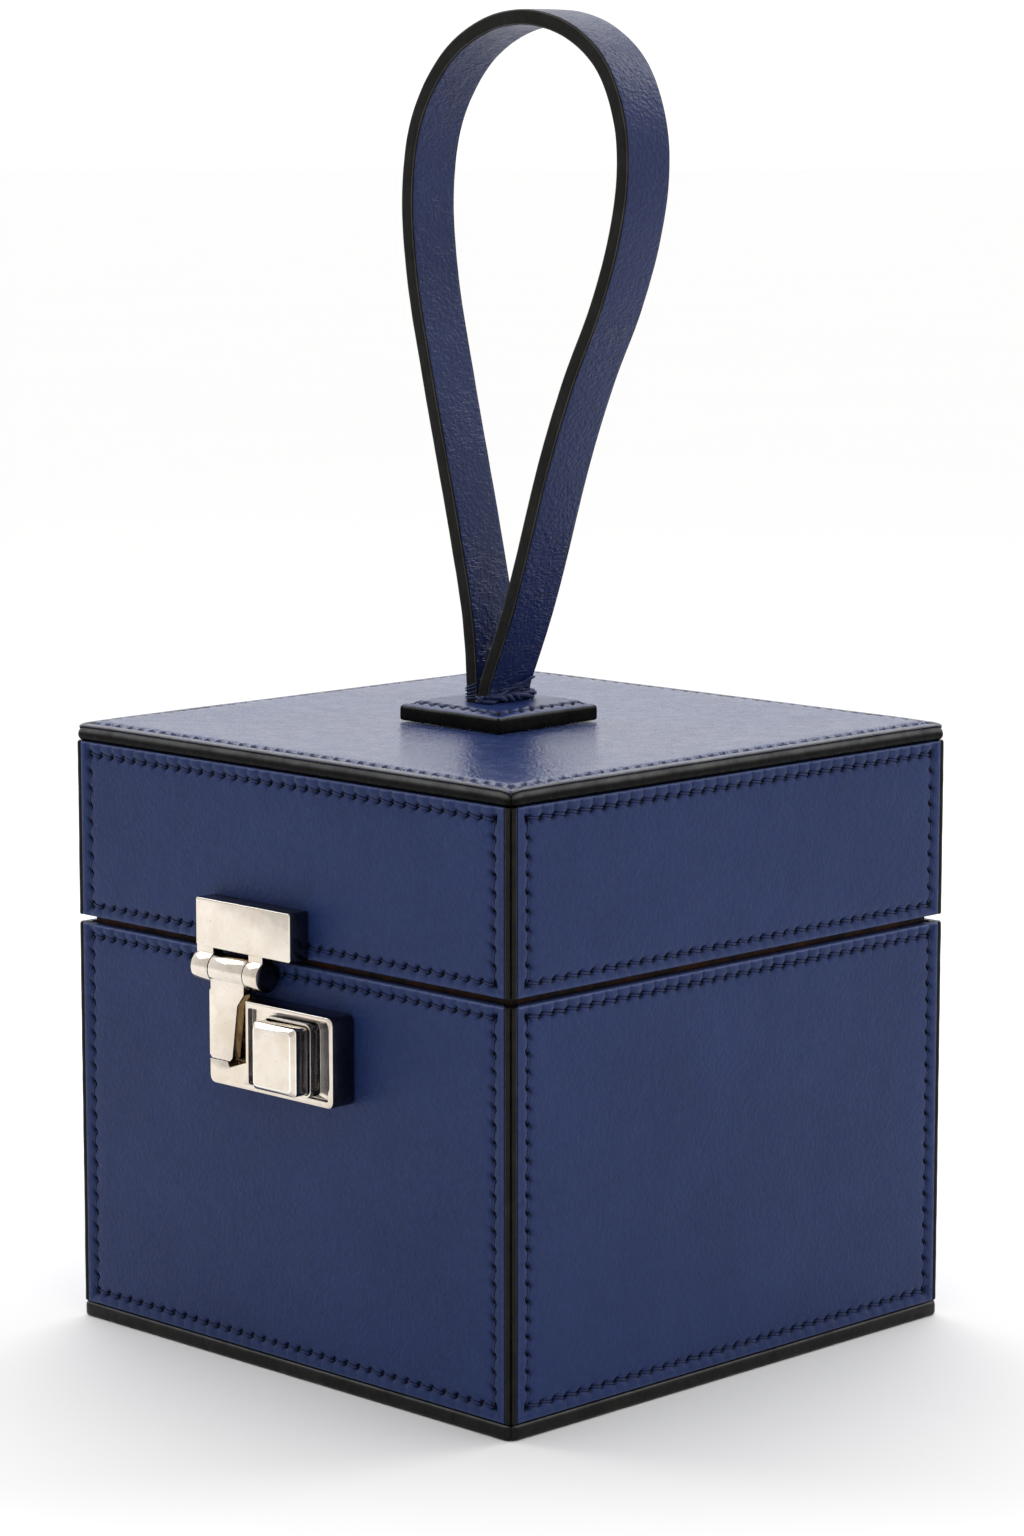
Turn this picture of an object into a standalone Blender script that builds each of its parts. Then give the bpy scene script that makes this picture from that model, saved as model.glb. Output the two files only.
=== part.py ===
"""Box bag: a stiff leather cube with a hinged lid, a strap loop on top and a nickel hasp lock in front.

Metres, +Z up. The origin is the middle of the underside, the clasp faces -Y, and +X is to the right of
the clasp. The bag stands on its bottom sheet.
"""
import math

import bmesh
import bpy
from mathutils import Matrix, Vector

# The box
BOX_WIDTH = 0.130
BOX_DEPTH = 0.130
BOX_HEIGHT = 0.128
BASE_TOP = 0.0857
LID_GAP = 0.0017
SEAM = 0.0003
ARRIS = 0.0004

# Bottom and top sheets, each with a black band round its edge
BOTTOM_SHEET = 0.0031
TOP_SHEET = 0.0033
BAND_WIDTH = 0.0018
BAND_ROUNDING = 0.0012
BAND_FOOT = 0.0003
SHEET_CORNER = 0.0022

# Walls, corner beads and lining
BASE_WALL = 0.0025
LID_WALL = 0.0022
CORNER_INSET = 0.0021
LINING_WALL = 0.0020
LINING_CORNER = 0.0006
LIP_HEIGHT = 0.0075
LIP_CLEARANCE = 0.0006

# Handle: a strap loop that is sewn into a slotted square patch
HANDLE_X = -0.0036
PATCH_SIZE = 0.0293
PATCH_THICKNESS = 0.0028
PATCH_CORNER = 0.0010
STRAP_WIDTH = 0.0126
STRAP_THICKNESS = 0.0034
STRAP_ROUNDING = 0.0006
LOOP_HEIGHT = 0.146
LOOP_WIDTH = 0.0617
LEG_GAP = 0.0003
STRAIGHT_LEG = 0.0045
STRAP_STEP = 0.0045

# Clasp on the lid: a block with two knuckles, a pin and the hasp that swings on it
CLASP_LEFT = -0.0204
BLOCK_WIDTH = 0.0284
BLOCK_HEIGHT = 0.0100
BLOCK_DEPTH = 0.0052
BARREL_RADIUS = 0.0032
BARREL_STANDOFF = 0.0004
BARREL_DROP = 0.0010
BARREL_PIN_RADIUS = 0.0012
PIN_CLEARANCE = 0.00025
LEFT_KNUCKLE = 0.0050
HASP_KNUCKLE = 0.0102
RIGHT_KNUCKLE = 0.0041
KNUCKLE_GAP = 0.0003
KNUCKLE_WEB = 0.0028
TONGUE_THICKNESS = 0.0022
TONGUE_LENGTH = 0.0182
TONGUE_NECK = 0.0040
TONGUE_CHAMFER = 0.0025
TONGUE_WAIST = 0.0084
TONGUE_TIP = 0.0068
TONGUE_STEP = 0.0003

# Lock on the base: a plate with a raised rim, a channel for the hasp, and a push button in a collar
PLATE_WIDTH = 0.0367
PLATE_HEIGHT = 0.0183
PLATE_DEPTH = 0.0061
PLATE_DROP = 0.0018
PLATE_CORNER = 0.0014
RIM_WIDTH = 0.0013
RECESS_DEPTH = 0.0013
CHANNEL_WIDTH = 0.0110
CHANNEL_DEPTH = 0.0028
CHANNEL_LIP = 0.0007
CHANNEL_FOOT = 0.0011
CHANNEL_RISE = 0.0006
TONGUE_CLEARANCE = 0.0002
COLLAR_WALL = 0.0004
COLLAR_HEIGHT = 0.0014
COLLAR_CORNER = 0.0014
BUTTON_WIDTH = 0.0127
BUTTON_HEIGHT = 0.0137
BUTTON_MARGIN = 0.0055
BUTTON_CLEARANCE = 0.0002
BUTTON_PROUD = 0.0042
BUTTON_INSERT = 0.0020
BUTTON_BEVEL = 0.0009
BUTTON_TRAVEL = 0.0015
METAL_CORNER = 0.0005

# Hinge across the back of the lid gap
HINGE_LENGTH = 0.0700
HINGE_KNUCKLES = 5
HINGE_RADIUS = 0.0021
HINGE_PIN_RADIUS = 0.0008
LEAF_HEIGHT = 0.0100
LEAF_THICKNESS = 0.0010
LEAF_CLEARANCE = 0.0003

ROUND_SIDES = 20
CORNER_STEPS = 3

# What follows from the sizes above
LID_BOTTOM = BASE_TOP + LID_GAP
WALL_FOOT = BOTTOM_SHEET + SEAM
SHEET_UNDERSIDE = BOX_HEIGHT - TOP_SHEET
LID_WALL_TOP = SHEET_UNDERSIDE - SEAM
LINING_INSET = max(BASE_WALL + SEAM, LID_WALL + LIP_CLEARANCE)
LID_LINING_INSET = LID_WALL + SEAM
LIP_TOP = BASE_TOP + LIP_HEIGHT
CORNER_HALF = CORNER_INSET / math.sqrt(2)
PATCH_UNDERSIDE = BOX_HEIGHT + SEAM
PATCH_TOP = PATCH_UNDERSIDE + PATCH_THICKNESS
LEG_OFFSET = (STRAP_THICKNESS + LEG_GAP) / 2

BARREL_Z = LID_BOTTOM - BARREL_DROP - BARREL_RADIUS
BARREL_OUT = BARREL_STANDOFF + BARREL_RADIUS
HASP_LEFT = CLASP_LEFT + LEFT_KNUCKLE + KNUCKLE_GAP
HASP_RIGHT = HASP_LEFT + HASP_KNUCKLE
TONGUE_LEFT = HASP_LEFT - TONGUE_STEP
TONGUE_END = BARREL_Z - TONGUE_LENGTH
PLATE_LEFT = TONGUE_LEFT
PLATE_RIGHT = PLATE_LEFT + PLATE_WIDTH
PLATE_TOP = BARREL_Z - BARREL_RADIUS - PLATE_DROP
PLATE_BOTTOM = PLATE_TOP - PLATE_HEIGHT
BUTTON_X = PLATE_RIGHT - BUTTON_MARGIN - BUTTON_WIDTH / 2
BUTTON_Z = (PLATE_TOP + PLATE_BOTTOM) / 2
RECESS_FLOOR = PLATE_DEPTH - RECESS_DEPTH
COLLAR_FRONT = PLATE_DEPTH + COLLAR_HEIGHT
POCKET_FLOOR = COLLAR_FRONT - BUTTON_INSERT - BUTTON_TRAVEL - SEAM

LID_AXIS = Vector((0, BOX_DEPTH / 2 + SEAM + HINGE_RADIUS, (BASE_TOP + LID_BOTTOM) / 2))
HASP_AXIS = Vector(((HASP_LEFT + HASP_RIGHT) / 2, -BOX_DEPTH / 2 - BARREL_OUT, BARREL_Z))

# The strap's centreline as shares: across the loop width from the slot, and up the loop height
LOOP_SHAPE = (
    # across, rise
    (-0.050, 0.150),
    (-0.108, 0.264),
    (-0.241, 0.490),
    (-0.318, 0.637),
    (-0.339, 0.760),
    (-0.290, 0.863),
    (-0.146, 0.947),
    (0.039, 0.990),
    (0.234, 1.000),
    (0.425, 0.979),
    (0.570, 0.932),
    (0.652, 0.856),
    (0.665, 0.781),
    (0.625, 0.692),
    (0.544, 0.599),
    (0.428, 0.501),
    (0.318, 0.388),
    (0.180, 0.214),
    (0.126, 0.144),
    (0.078, 0.082),
)


def make_material(name, color, roughness, metallic=0.0):
    """A Principled material with one colour."""
    material = bpy.data.materials.new(name)
    material.use_nodes = True
    shader = material.node_tree.nodes["Principled BSDF"]
    shader.inputs["Base Color"].default_value = (*color, 1.0)
    shader.inputs["Roughness"].default_value = roughness
    shader.inputs["Metallic"].default_value = metallic
    material.diffuse_color = (*color, 1.0)
    return material


def leather(name):
    return make_material(name + "_leather", (0.026, 0.038, 0.120), 0.48)


def painted_edge(name):
    return make_material(name + "_edge_paint", (0.012, 0.012, 0.013), 0.42)


def tan_lining(name):
    return make_material(name + "_lining", (0.30, 0.12, 0.04), 0.75)


def nickel(name):
    return make_material(name + "_nickel", (0.72, 0.67, 0.60), 0.18, 1.0)


def finish_object(name, bm, material, pivot=None, angle=0.0, parent=None):
    """Turn a closed bmesh into an object whose origin is its pivot, shaded smooth up to 35 degrees."""
    bmesh.ops.recalc_face_normals(bm, faces=bm.faces)
    pivot = Vector(pivot or (0, 0, 0))
    bmesh.ops.translate(bm, verts=bm.verts, vec=-pivot)
    mesh = bpy.data.meshes.new(name)
    bm.to_mesh(mesh)
    bm.free()
    mesh.shade_smooth()
    mesh.set_sharp_from_angle(angle=math.radians(35))
    if material is not None:
        mesh.materials.append(material)
    piece = bpy.data.objects.new(name, mesh)
    bpy.context.scene.collection.objects.link(piece)
    piece.rotation_euler = (0, 0, angle)
    piece.parent = parent
    piece.location = pivot - (parent.location if parent else Vector())
    return piece


def loft(sections, closed=False):
    """A bmesh through rings of equally many points, capped at both ends, or closed on itself."""
    bm = bmesh.new()
    rings = [[bm.verts.new(point) for point in section] for section in sections]
    count = len(rings[0])
    pairs = list(zip(rings, rings[1:]))
    if closed:
        pairs.append((rings[-1], rings[0]))
    else:
        bm.faces.new(rings[0])
        bm.faces.new(rings[-1])
    for near, far in pairs:
        for i in range(count):
            j = (i + 1) % count
            bm.faces.new((near[i], near[j], far[j], far[i]))
    return bm


def rounded_rectangle(width, depth, radius, steps=CORNER_STEPS):
    """Points of a rectangle centred on 0, 0 with round corners."""
    points = []
    for quarter, (sx, sy) in enumerate(((1, 1), (-1, 1), (-1, -1), (1, -1))):
        for i in range(steps + 1):
            turn = math.pi / 2 * (quarter + i / steps)
            x = sx * (width / 2 - radius) + radius * math.cos(turn)
            y = sy * (depth / 2 - radius) + radius * math.sin(turn)
            points.append((x, y))
    return points


def circle(radius, sides=ROUND_SIDES):
    return [
        (radius * math.cos(2 * math.pi * i / sides), radius * math.sin(2 * math.pi * i / sides))
        for i in range(sides)
    ]


def plan(outline, z):
    """An outline in X and Y at one height."""
    return [(x, y, z) for x, y in outline]


def front_view(outline, out):
    """An outline in X and Z, this far in front of the box's front face."""
    return [(x, -BOX_DEPTH / 2 - out, z) for x, z in outline]


def prism_from_front(outline, out_low, out_high):
    return loft([front_view(outline, out_low), front_view(outline, out_high)])


def prism_along_x(outline, centre, x_low, x_high):
    """An outline in Y and Z round a centre, run along X."""
    return loft([[(x, centre.y + y, centre.z + z) for y, z in outline] for x in (x_low, x_high)])


def shifted(outline, dx, dz):
    return [(x + dx, z + dz) for x, z in outline]


def boolean(piece, operation, bm, name):
    """Add or cut another closed shape with an exact Boolean; the shape itself isn't built."""
    tool = finish_object(name, bm, None)
    tool.hide_render = True
    tool.display_type = "WIRE"
    modifier = piece.modifiers.new(name, "BOOLEAN")
    modifier.operation = operation
    modifier.solver = "EXACT"
    modifier.object = tool
    if piece.parent:
        tool.parent = piece.parent
        tool.location = -piece.parent.location


def axis_empty(name, location):
    empty = bpy.data.objects.new(name, None)
    empty.location = location
    empty.empty_display_size = PLATE_HEIGHT
    bpy.context.scene.collection.objects.link(empty)
    return empty


def edge_sections(thickness, corner):
    """How a sheet's or panel's rim recedes: pairs of inset and depth below its outer face."""
    return [(corner, 0.0), (corner * 0.3, corner * 0.3), (0.0, corner), (0.0, thickness)]


def wall_panel(name, width, z_low, z_high, out, thickness, angle, parent):
    """One leather wall with mitred ends; built facing -Y and turned about +Z to its side."""
    sections = []
    for inset, depth in edge_sections(thickness, ARRIS):
        half = width / 2 - max(inset, depth)
        low = z_low + inset
        high = z_high - inset
        y = -out + depth
        sections.append([(-half, y, low), (half, y, low), (half, y, high), (-half, y, high)])
    pivot = Vector((0, 0, z_low))
    panel = finish_object(name, loft(sections), leather(name), pivot, angle, parent)
    return panel


def corner_bead(name, sx, sy, z_low, z_high, back, parent):
    """The black corner between two panels: a bar along Z with two round beads and a groove between."""
    half = CORNER_HALF - SEAM
    bead = half / 2
    outline = [(-back, half), (-back, -half)]
    for side in (-1, 1):
        for i in range(5):
            turn = math.pi * i / 4 - math.pi / 2
            outline.append((bead * math.cos(turn), side * bead + bead * math.sin(turn)))
    middle = Vector((sx * (BOX_WIDTH - CORNER_INSET) / 2, sy * (BOX_DEPTH - CORNER_INSET) / 2, 0))
    outward = Vector((sx, sy, 0)).normalized()
    across = Vector((-outward.y, outward.x, 0))
    kept = []
    for u, v in outline:
        if not kept or (Vector(kept[-1]) - Vector((u, v))).length > ARRIS / 10:
            kept.append((u, v))
    rings = []
    for z in (z_low, z_high):
        rings.append([middle + outward * u + across * v + Vector((0, 0, z)) for u, v in kept])
    return finish_object(name, loft(rings), painted_edge(name), (*middle.xy, z_low), 0.0, parent)


def wall_ring(prefix, z_low, z_high, thickness, bead_back, parent):
    """Four panels and four corner beads round the box."""
    sides = (
        ("front", BOX_WIDTH, BOX_DEPTH, 0),
        ("right", BOX_DEPTH, BOX_WIDTH, 1),
        ("back", BOX_WIDTH, BOX_DEPTH, 2),
        ("left", BOX_DEPTH, BOX_WIDTH, 3),
    )
    for side, along, across, quarter in sides:
        width = along - 2 * CORNER_INSET
        angle = quarter * math.pi / 2
        wall_panel(prefix + "_" + side, width, z_low, z_high, across / 2, thickness, angle, parent)
    corners = (("front_left", -1, -1), ("front_right", 1, -1), ("back_right", 1, 1), ("back_left", -1, 1))
    for corner, sx, sy in corners:
        corner_bead(prefix + "_edge_" + corner, sx, sy, z_low, z_high, bead_back, parent)


def edge_band(name, z_low, z_high, round_top, parent):
    """The black band round a sheet; its rounded arris is on top, or underneath as a mirror image."""
    height = z_high - z_low
    profile = [(BAND_FOOT, 0.0), (0.0, BAND_FOOT)]
    for i in range(CORNER_STEPS + 1):
        turn = math.pi / 2 * i / CORNER_STEPS
        inset = BAND_ROUNDING * (1 - math.cos(turn))
        profile.append((inset, height - BAND_ROUNDING * (1 - math.sin(turn))))
    profile += [(BAND_WIDTH, height), (BAND_WIDTH, 0.0)]
    sections = []
    for inset, rise in profile:
        radius = max(SHEET_CORNER - inset, ARRIS)
        outline = rounded_rectangle(BOX_WIDTH - 2 * inset, BOX_DEPTH - 2 * inset, radius)
        z = z_low + rise if round_top else z_high - rise
        sections.append(plan(outline, z))
    bm = loft(sections, closed=True)
    return finish_object(name, bm, painted_edge(name), (0, 0, z_low), 0.0, parent)


def sheet(name, z_low, z_high, face_up, parent):
    """The leather sheet inside an edge band."""
    inset = BAND_WIDTH + SEAM
    sections = []
    for rim, depth in edge_sections(z_high - z_low, ARRIS):
        recede = 2 * (inset + rim)
        outline = rounded_rectangle(BOX_WIDTH - recede, BOX_DEPTH - recede, ARRIS * 2)
        z = z_high - depth if face_up else z_low + depth
        sections.append(plan(outline, z))
    return finish_object(name, loft(sections), leather(name), (0, 0, z_low), 0.0, parent)


def tray(name, inset, z_closed, z_open, parent):
    """An open lining: a floor or ceiling at z_closed and walls that end at z_open."""
    step = LINING_WALL if z_open > z_closed else -LINING_WALL
    outer = rounded_rectangle(BOX_WIDTH - 2 * inset, BOX_DEPTH - 2 * inset, LINING_CORNER, 1)
    recede = 2 * (inset + LINING_WALL)
    inner = rounded_rectangle(BOX_WIDTH - recede, BOX_DEPTH - recede, LINING_CORNER, 1)
    sections = [plan(outer, z_closed), plan(outer, z_open), plan(inner, z_open), plan(inner, z_closed + step)]
    return finish_object(name, loft(sections), tan_lining(name), (0, 0, z_closed), 0.0, parent)


def build_base():
    back = math.sqrt(2) * (LINING_INSET - CORNER_INSET / 2) - SEAM
    wall_ring("base", WALL_FOOT, BASE_TOP, BASE_WALL, back, None)
    edge_band("base_bottom_band", 0.0, BOTTOM_SHEET, False, None)
    sheet("base_bottom", 0.0, BOTTOM_SHEET, False, None)
    tray("base_lining", LINING_INSET, WALL_FOOT, LIP_TOP, None)


def build_lid(lid_axis):
    inner = min(LINING_INSET - LIP_CLEARANCE / math.sqrt(2), LID_LINING_INSET - SEAM / math.sqrt(2))
    back = math.sqrt(2) * (inner - CORNER_INSET / 2)
    wall_ring("lid", LID_BOTTOM, LID_WALL_TOP, LID_WALL, back, lid_axis)
    edge_band("lid_top_band", SHEET_UNDERSIDE, BOX_HEIGHT, True, lid_axis)
    sheet("lid_top", SHEET_UNDERSIDE, BOX_HEIGHT, True, lid_axis)
    tray("lid_lining", LID_LINING_INSET, LID_WALL_TOP, LIP_TOP + SEAM, lid_axis)


def curve_through(points, step):
    """Points at equal steps along a centripetal Catmull-Rom curve through the given ones."""
    points = [2 * points[0] - points[1], *points, 2 * points[-1] - points[-2]]
    dense = []
    for p0, p1, p2, p3 in zip(points, points[1:], points[2:], points[3:]):
        t1 = math.sqrt((p1 - p0).length)
        t2 = t1 + math.sqrt((p2 - p1).length)
        t3 = t2 + math.sqrt((p3 - p2).length)
        for i in range(24):
            t = t1 + (t2 - t1) * i / 24
            a1 = p0.lerp(p1, t / t1)
            a2 = p1.lerp(p2, (t - t1) / (t2 - t1))
            a3 = p2.lerp(p3, (t - t2) / (t3 - t2))
            b1 = a1.lerp(a2, t / t2)
            b2 = a2.lerp(a3, (t - t1) / (t3 - t1))
            dense.append(b1.lerp(b2, (t - t1) / (t2 - t1)))
    dense.append(points[-2])
    along = [0.0]
    for near, far in zip(dense, dense[1:]):
        along.append(along[-1] + (far - near).length)
    count = round(along[-1] / step)
    result = []
    k = 0
    for i in range(count + 1):
        target = along[-1] * i / count
        while k < len(along) - 2 and along[k + 1] < target:
            k += 1
        result.append(dense[k].lerp(dense[k + 1], (target - along[k]) / (along[k + 1] - along[k])))
    return result


def build_handle(lid_axis):
    """The slotted patch and the strap, one band whose two ends stand in the slot."""
    slot_width = 2 * STRAP_THICKNESS + LEG_GAP + 2 * SEAM
    slot_depth = STRAP_WIDTH + 2 * SEAM
    outer = rounded_rectangle(PATCH_SIZE, PATCH_SIZE, PATCH_CORNER)
    outer_top = rounded_rectangle(PATCH_SIZE - 2 * ARRIS, PATCH_SIZE - 2 * ARRIS, PATCH_CORNER - ARRIS)
    slot = rounded_rectangle(slot_width, slot_depth, ARRIS)
    sections = [
        plan(outer_top, PATCH_UNDERSIDE),
        plan(outer, PATCH_UNDERSIDE + ARRIS),
        plan(outer, PATCH_TOP - ARRIS),
        plan(outer_top, PATCH_TOP),
        plan(slot, PATCH_TOP),
        plan(slot, PATCH_UNDERSIDE),
    ]
    sections = [[(x + HANDLE_X, y, z) for x, y, z in section] for section in sections]
    pivot = (HANDLE_X, 0, PATCH_UNDERSIDE)
    finish_object("handle_patch", loft(sections, closed=True), leather("handle_patch"), pivot, 0.0, lid_axis)

    foot = SEAM
    knee = SEAM + PATCH_THICKNESS + STRAIGHT_LEG
    route = [Vector((-LEG_OFFSET, 0, foot)), Vector((-LEG_OFFSET, 0, knee))]
    route += [Vector((across * LOOP_WIDTH, 0, rise * LOOP_HEIGHT)) for across, rise in LOOP_SHAPE]
    route += [Vector((LEG_OFFSET, 0, SEAM + PATCH_THICKNESS)), Vector((LEG_OFFSET, 0, foot))]
    centreline = curve_through(route, STRAP_STEP)
    half_width = STRAP_WIDTH / 2
    half_thick = STRAP_THICKNESS / 2
    profile = []
    for sy, st in ((1, 1), (-1, 1), (-1, -1), (1, -1)):
        cut = [(half_width, half_thick - STRAP_ROUNDING), (half_width - STRAP_ROUNDING, half_thick)]
        if sy * st < 0:
            cut.reverse()
        profile += [(sy * y, st * t) for y, t in cut]
    sections = []
    last = len(centreline) - 1
    for i, point in enumerate(centreline):
        ahead = centreline[min(i + 1, last)]
        behind = centreline[max(i - 1, 0)]
        tangent = (ahead - behind).normalized()
        if i in (0, last):
            tangent = Vector((0, 0, 1 if i == 0 else -1))
        normal = tangent.cross(Vector((0, 1, 0)))
        origin = Vector((HANDLE_X, 0, BOX_HEIGHT)) + point
        sections.append([origin + normal * t + Vector((0, y, 0)) for y, t in profile])
    finish_object("handle_strap", loft(sections), leather("handle_strap"), pivot, 0.0, lid_axis)


def metal_slab(x_low, x_high, z_low, z_high, out_low, out_high, corner, arris):
    """A block in front of the box with round corners seen from the front and a softened front arris."""
    sections = []
    for inset, depth in edge_sections(out_high - out_low, arris):
        outline = rounded_rectangle(x_high - x_low - 2 * inset, z_high - z_low - 2 * inset, corner - inset / 2)
        outline = shifted(outline, (x_low + x_high) / 2, (z_low + z_high) / 2)
        sections.append(front_view(outline, out_high - depth))
    return loft(sections)


def keyhole(radius, web, height):
    """A round knuckle with a straight web that rises from it."""
    lean = math.asin(web / 2 / radius)
    points = [(web / 2, height), (-web / 2, height)]
    steps = ROUND_SIDES - 2
    for i in range(steps + 1):
        turn = math.pi / 2 + lean + (2 * math.pi - 2 * lean) * i / steps
        points.append((radius * math.cos(turn), radius * math.sin(turn)))
    return points


def build_clasp(lid_axis, hasp_axis):
    """The block with its knuckles and pin on the lid, and the hasp that swings from it."""
    block = finish_object(
        "clasp_block",
        metal_slab(
            CLASP_LEFT, CLASP_LEFT + BLOCK_WIDTH, LID_BOTTOM, LID_BOTTOM + BLOCK_HEIGHT,
            SEAM, BLOCK_DEPTH, METAL_CORNER, METAL_CORNER / 2,
        ),
        nickel("clasp_block"), (CLASP_LEFT, -BOX_DEPTH / 2, LID_BOTTOM), 0.0, lid_axis,
    )
    rise = LID_BOTTOM + METAL_CORNER * 2 - BARREL_Z
    knuckle = keyhole(BARREL_RADIUS, KNUCKLE_WEB, rise)
    right_low = HASP_RIGHT + KNUCKLE_GAP
    spans = (
        ("left_knuckle", CLASP_LEFT + ARRIS / 4, CLASP_LEFT + LEFT_KNUCKLE),
        ("right_knuckle", right_low, right_low + RIGHT_KNUCKLE),
    )
    for name, low, high in spans:
        boolean(block, "UNION", prism_along_x(knuckle, HASP_AXIS, low, high), name)
    bore = circle(BARREL_PIN_RADIUS + PIN_CLEARANCE)
    beyond = BARREL_RADIUS
    barrel_end = right_low + RIGHT_KNUCKLE
    boolean(block, "DIFFERENCE", prism_along_x(bore, HASP_AXIS, CLASP_LEFT - beyond, barrel_end + beyond), "bore")

    pin_shape = circle(BARREL_PIN_RADIUS)
    pin = prism_along_x(pin_shape, HASP_AXIS, CLASP_LEFT + SEAM, barrel_end - SEAM)
    finish_object("clasp_pin", pin, nickel("clasp_pin"), HASP_AXIS, 0.0, lid_axis)

    barrel = prism_along_x(circle(BARREL_RADIUS), HASP_AXIS, HASP_LEFT, HASP_RIGHT)
    hasp = finish_object("hasp", barrel, nickel("hasp"), HASP_AXIS, 0.0, hasp_axis)
    neck = BARREL_Z - TONGUE_NECK
    inside = ARRIS / 4
    outline = [
        (HASP_LEFT + inside, BARREL_Z),
        (HASP_LEFT + inside, neck),
        (TONGUE_LEFT, neck - TONGUE_STEP),
        (TONGUE_LEFT, TONGUE_END + PLATE_CORNER / 2),
        (TONGUE_LEFT + PLATE_CORNER / 2, TONGUE_END),
        (TONGUE_LEFT + TONGUE_TIP - PLATE_CORNER / 2, TONGUE_END),
        (TONGUE_LEFT + TONGUE_TIP, TONGUE_END + PLATE_CORNER / 2),
        (TONGUE_LEFT + TONGUE_WAIST, neck - TONGUE_CHAMFER),
        (HASP_RIGHT - inside, neck),
        (HASP_RIGHT - inside, BARREL_Z),
    ]
    tongue = prism_from_front(outline, PLATE_DEPTH - TONGUE_THICKNESS, PLATE_DEPTH)
    boolean(hasp, "UNION", tongue, "tongue")
    hasp_bore = prism_along_x(bore, HASP_AXIS, HASP_LEFT - beyond, HASP_RIGHT + beyond)
    boolean(hasp, "DIFFERENCE", hasp_bore, "hasp_bore")


def button_outline(grow, corner):
    """The button's outline from the front, grown by this much on each side."""
    outline = rounded_rectangle(BUTTON_WIDTH + 2 * grow, BUTTON_HEIGHT + 2 * grow, corner)
    return shifted(outline, BUTTON_X, BUTTON_Z)


def build_lock():
    """The plate on the base with its rim, channel and collar, and the push button."""
    plate = finish_object(
        "lock_plate",
        metal_slab(
            PLATE_LEFT, PLATE_RIGHT, PLATE_BOTTOM, PLATE_TOP,
            SEAM, PLATE_DEPTH, PLATE_CORNER, METAL_CORNER / 2,
        ),
        nickel("lock_plate"), (PLATE_LEFT, -BOX_DEPTH / 2, PLATE_BOTTOM),
    )
    proud = PLATE_DEPTH + SEAM
    channel_right = PLATE_LEFT + CHANNEL_WIDTH
    recess_low = channel_right + CHANNEL_LIP
    recess_high = PLATE_RIGHT - RIM_WIDTH
    recess = rounded_rectangle(recess_high - recess_low, PLATE_HEIGHT - 2 * RIM_WIDTH, METAL_CORNER)
    recess = shifted(recess, (recess_low + recess_high) / 2, (PLATE_TOP + PLATE_BOTTOM) / 2)
    boolean(plate, "DIFFERENCE", prism_from_front(recess, RECESS_FLOOR, proud), "recess")

    collar = button_outline(BUTTON_CLEARANCE + COLLAR_WALL, COLLAR_CORNER)
    collar_root = (POCKET_FLOOR + RECESS_FLOOR) / 2
    boolean(plate, "UNION", prism_from_front(collar, collar_root, COLLAR_FRONT), "collar")
    pocket = button_outline(BUTTON_CLEARANCE, COLLAR_CORNER - COLLAR_WALL)
    boolean(plate, "DIFFERENCE", prism_from_front(pocket, POCKET_FLOOR, COLLAR_FRONT + SEAM), "pocket")

    channel_end = TONGUE_END - TONGUE_CLEARANCE
    slant_start = PLATE_LEFT + TONGUE_TIP - PLATE_CORNER
    channel = [
        (PLATE_LEFT - RIM_WIDTH, PLATE_TOP + RIM_WIDTH),
        (PLATE_LEFT - RIM_WIDTH, channel_end),
        (slant_start, channel_end),
        (slant_start + CHANNEL_FOOT / 2, channel_end - CHANNEL_FOOT),
        (channel_right, channel_end + CHANNEL_RISE),
        (channel_right, PLATE_TOP + RIM_WIDTH),
    ]
    channel_floor = PLATE_DEPTH - CHANNEL_DEPTH
    boolean(plate, "DIFFERENCE", prism_from_front(channel, channel_floor, proud), "channel")

    sections = []
    front = COLLAR_FRONT + BUTTON_PROUD
    for inset, out in (
        (0.0, COLLAR_FRONT - BUTTON_INSERT),
        (0.0, front - BUTTON_BEVEL),
        (BUTTON_BEVEL * 0.65, front - BUTTON_BEVEL * 0.35),
        (BUTTON_BEVEL, front),
    ):
        corner = COLLAR_CORNER - COLLAR_WALL - BUTTON_CLEARANCE
        sections.append(front_view(button_outline(-inset, corner), out))
    pivot = (BUTTON_X, -BOX_DEPTH / 2 - COLLAR_FRONT, BUTTON_Z)
    finish_object("lock_button", loft(sections), nickel("lock_button"), pivot)


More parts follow.
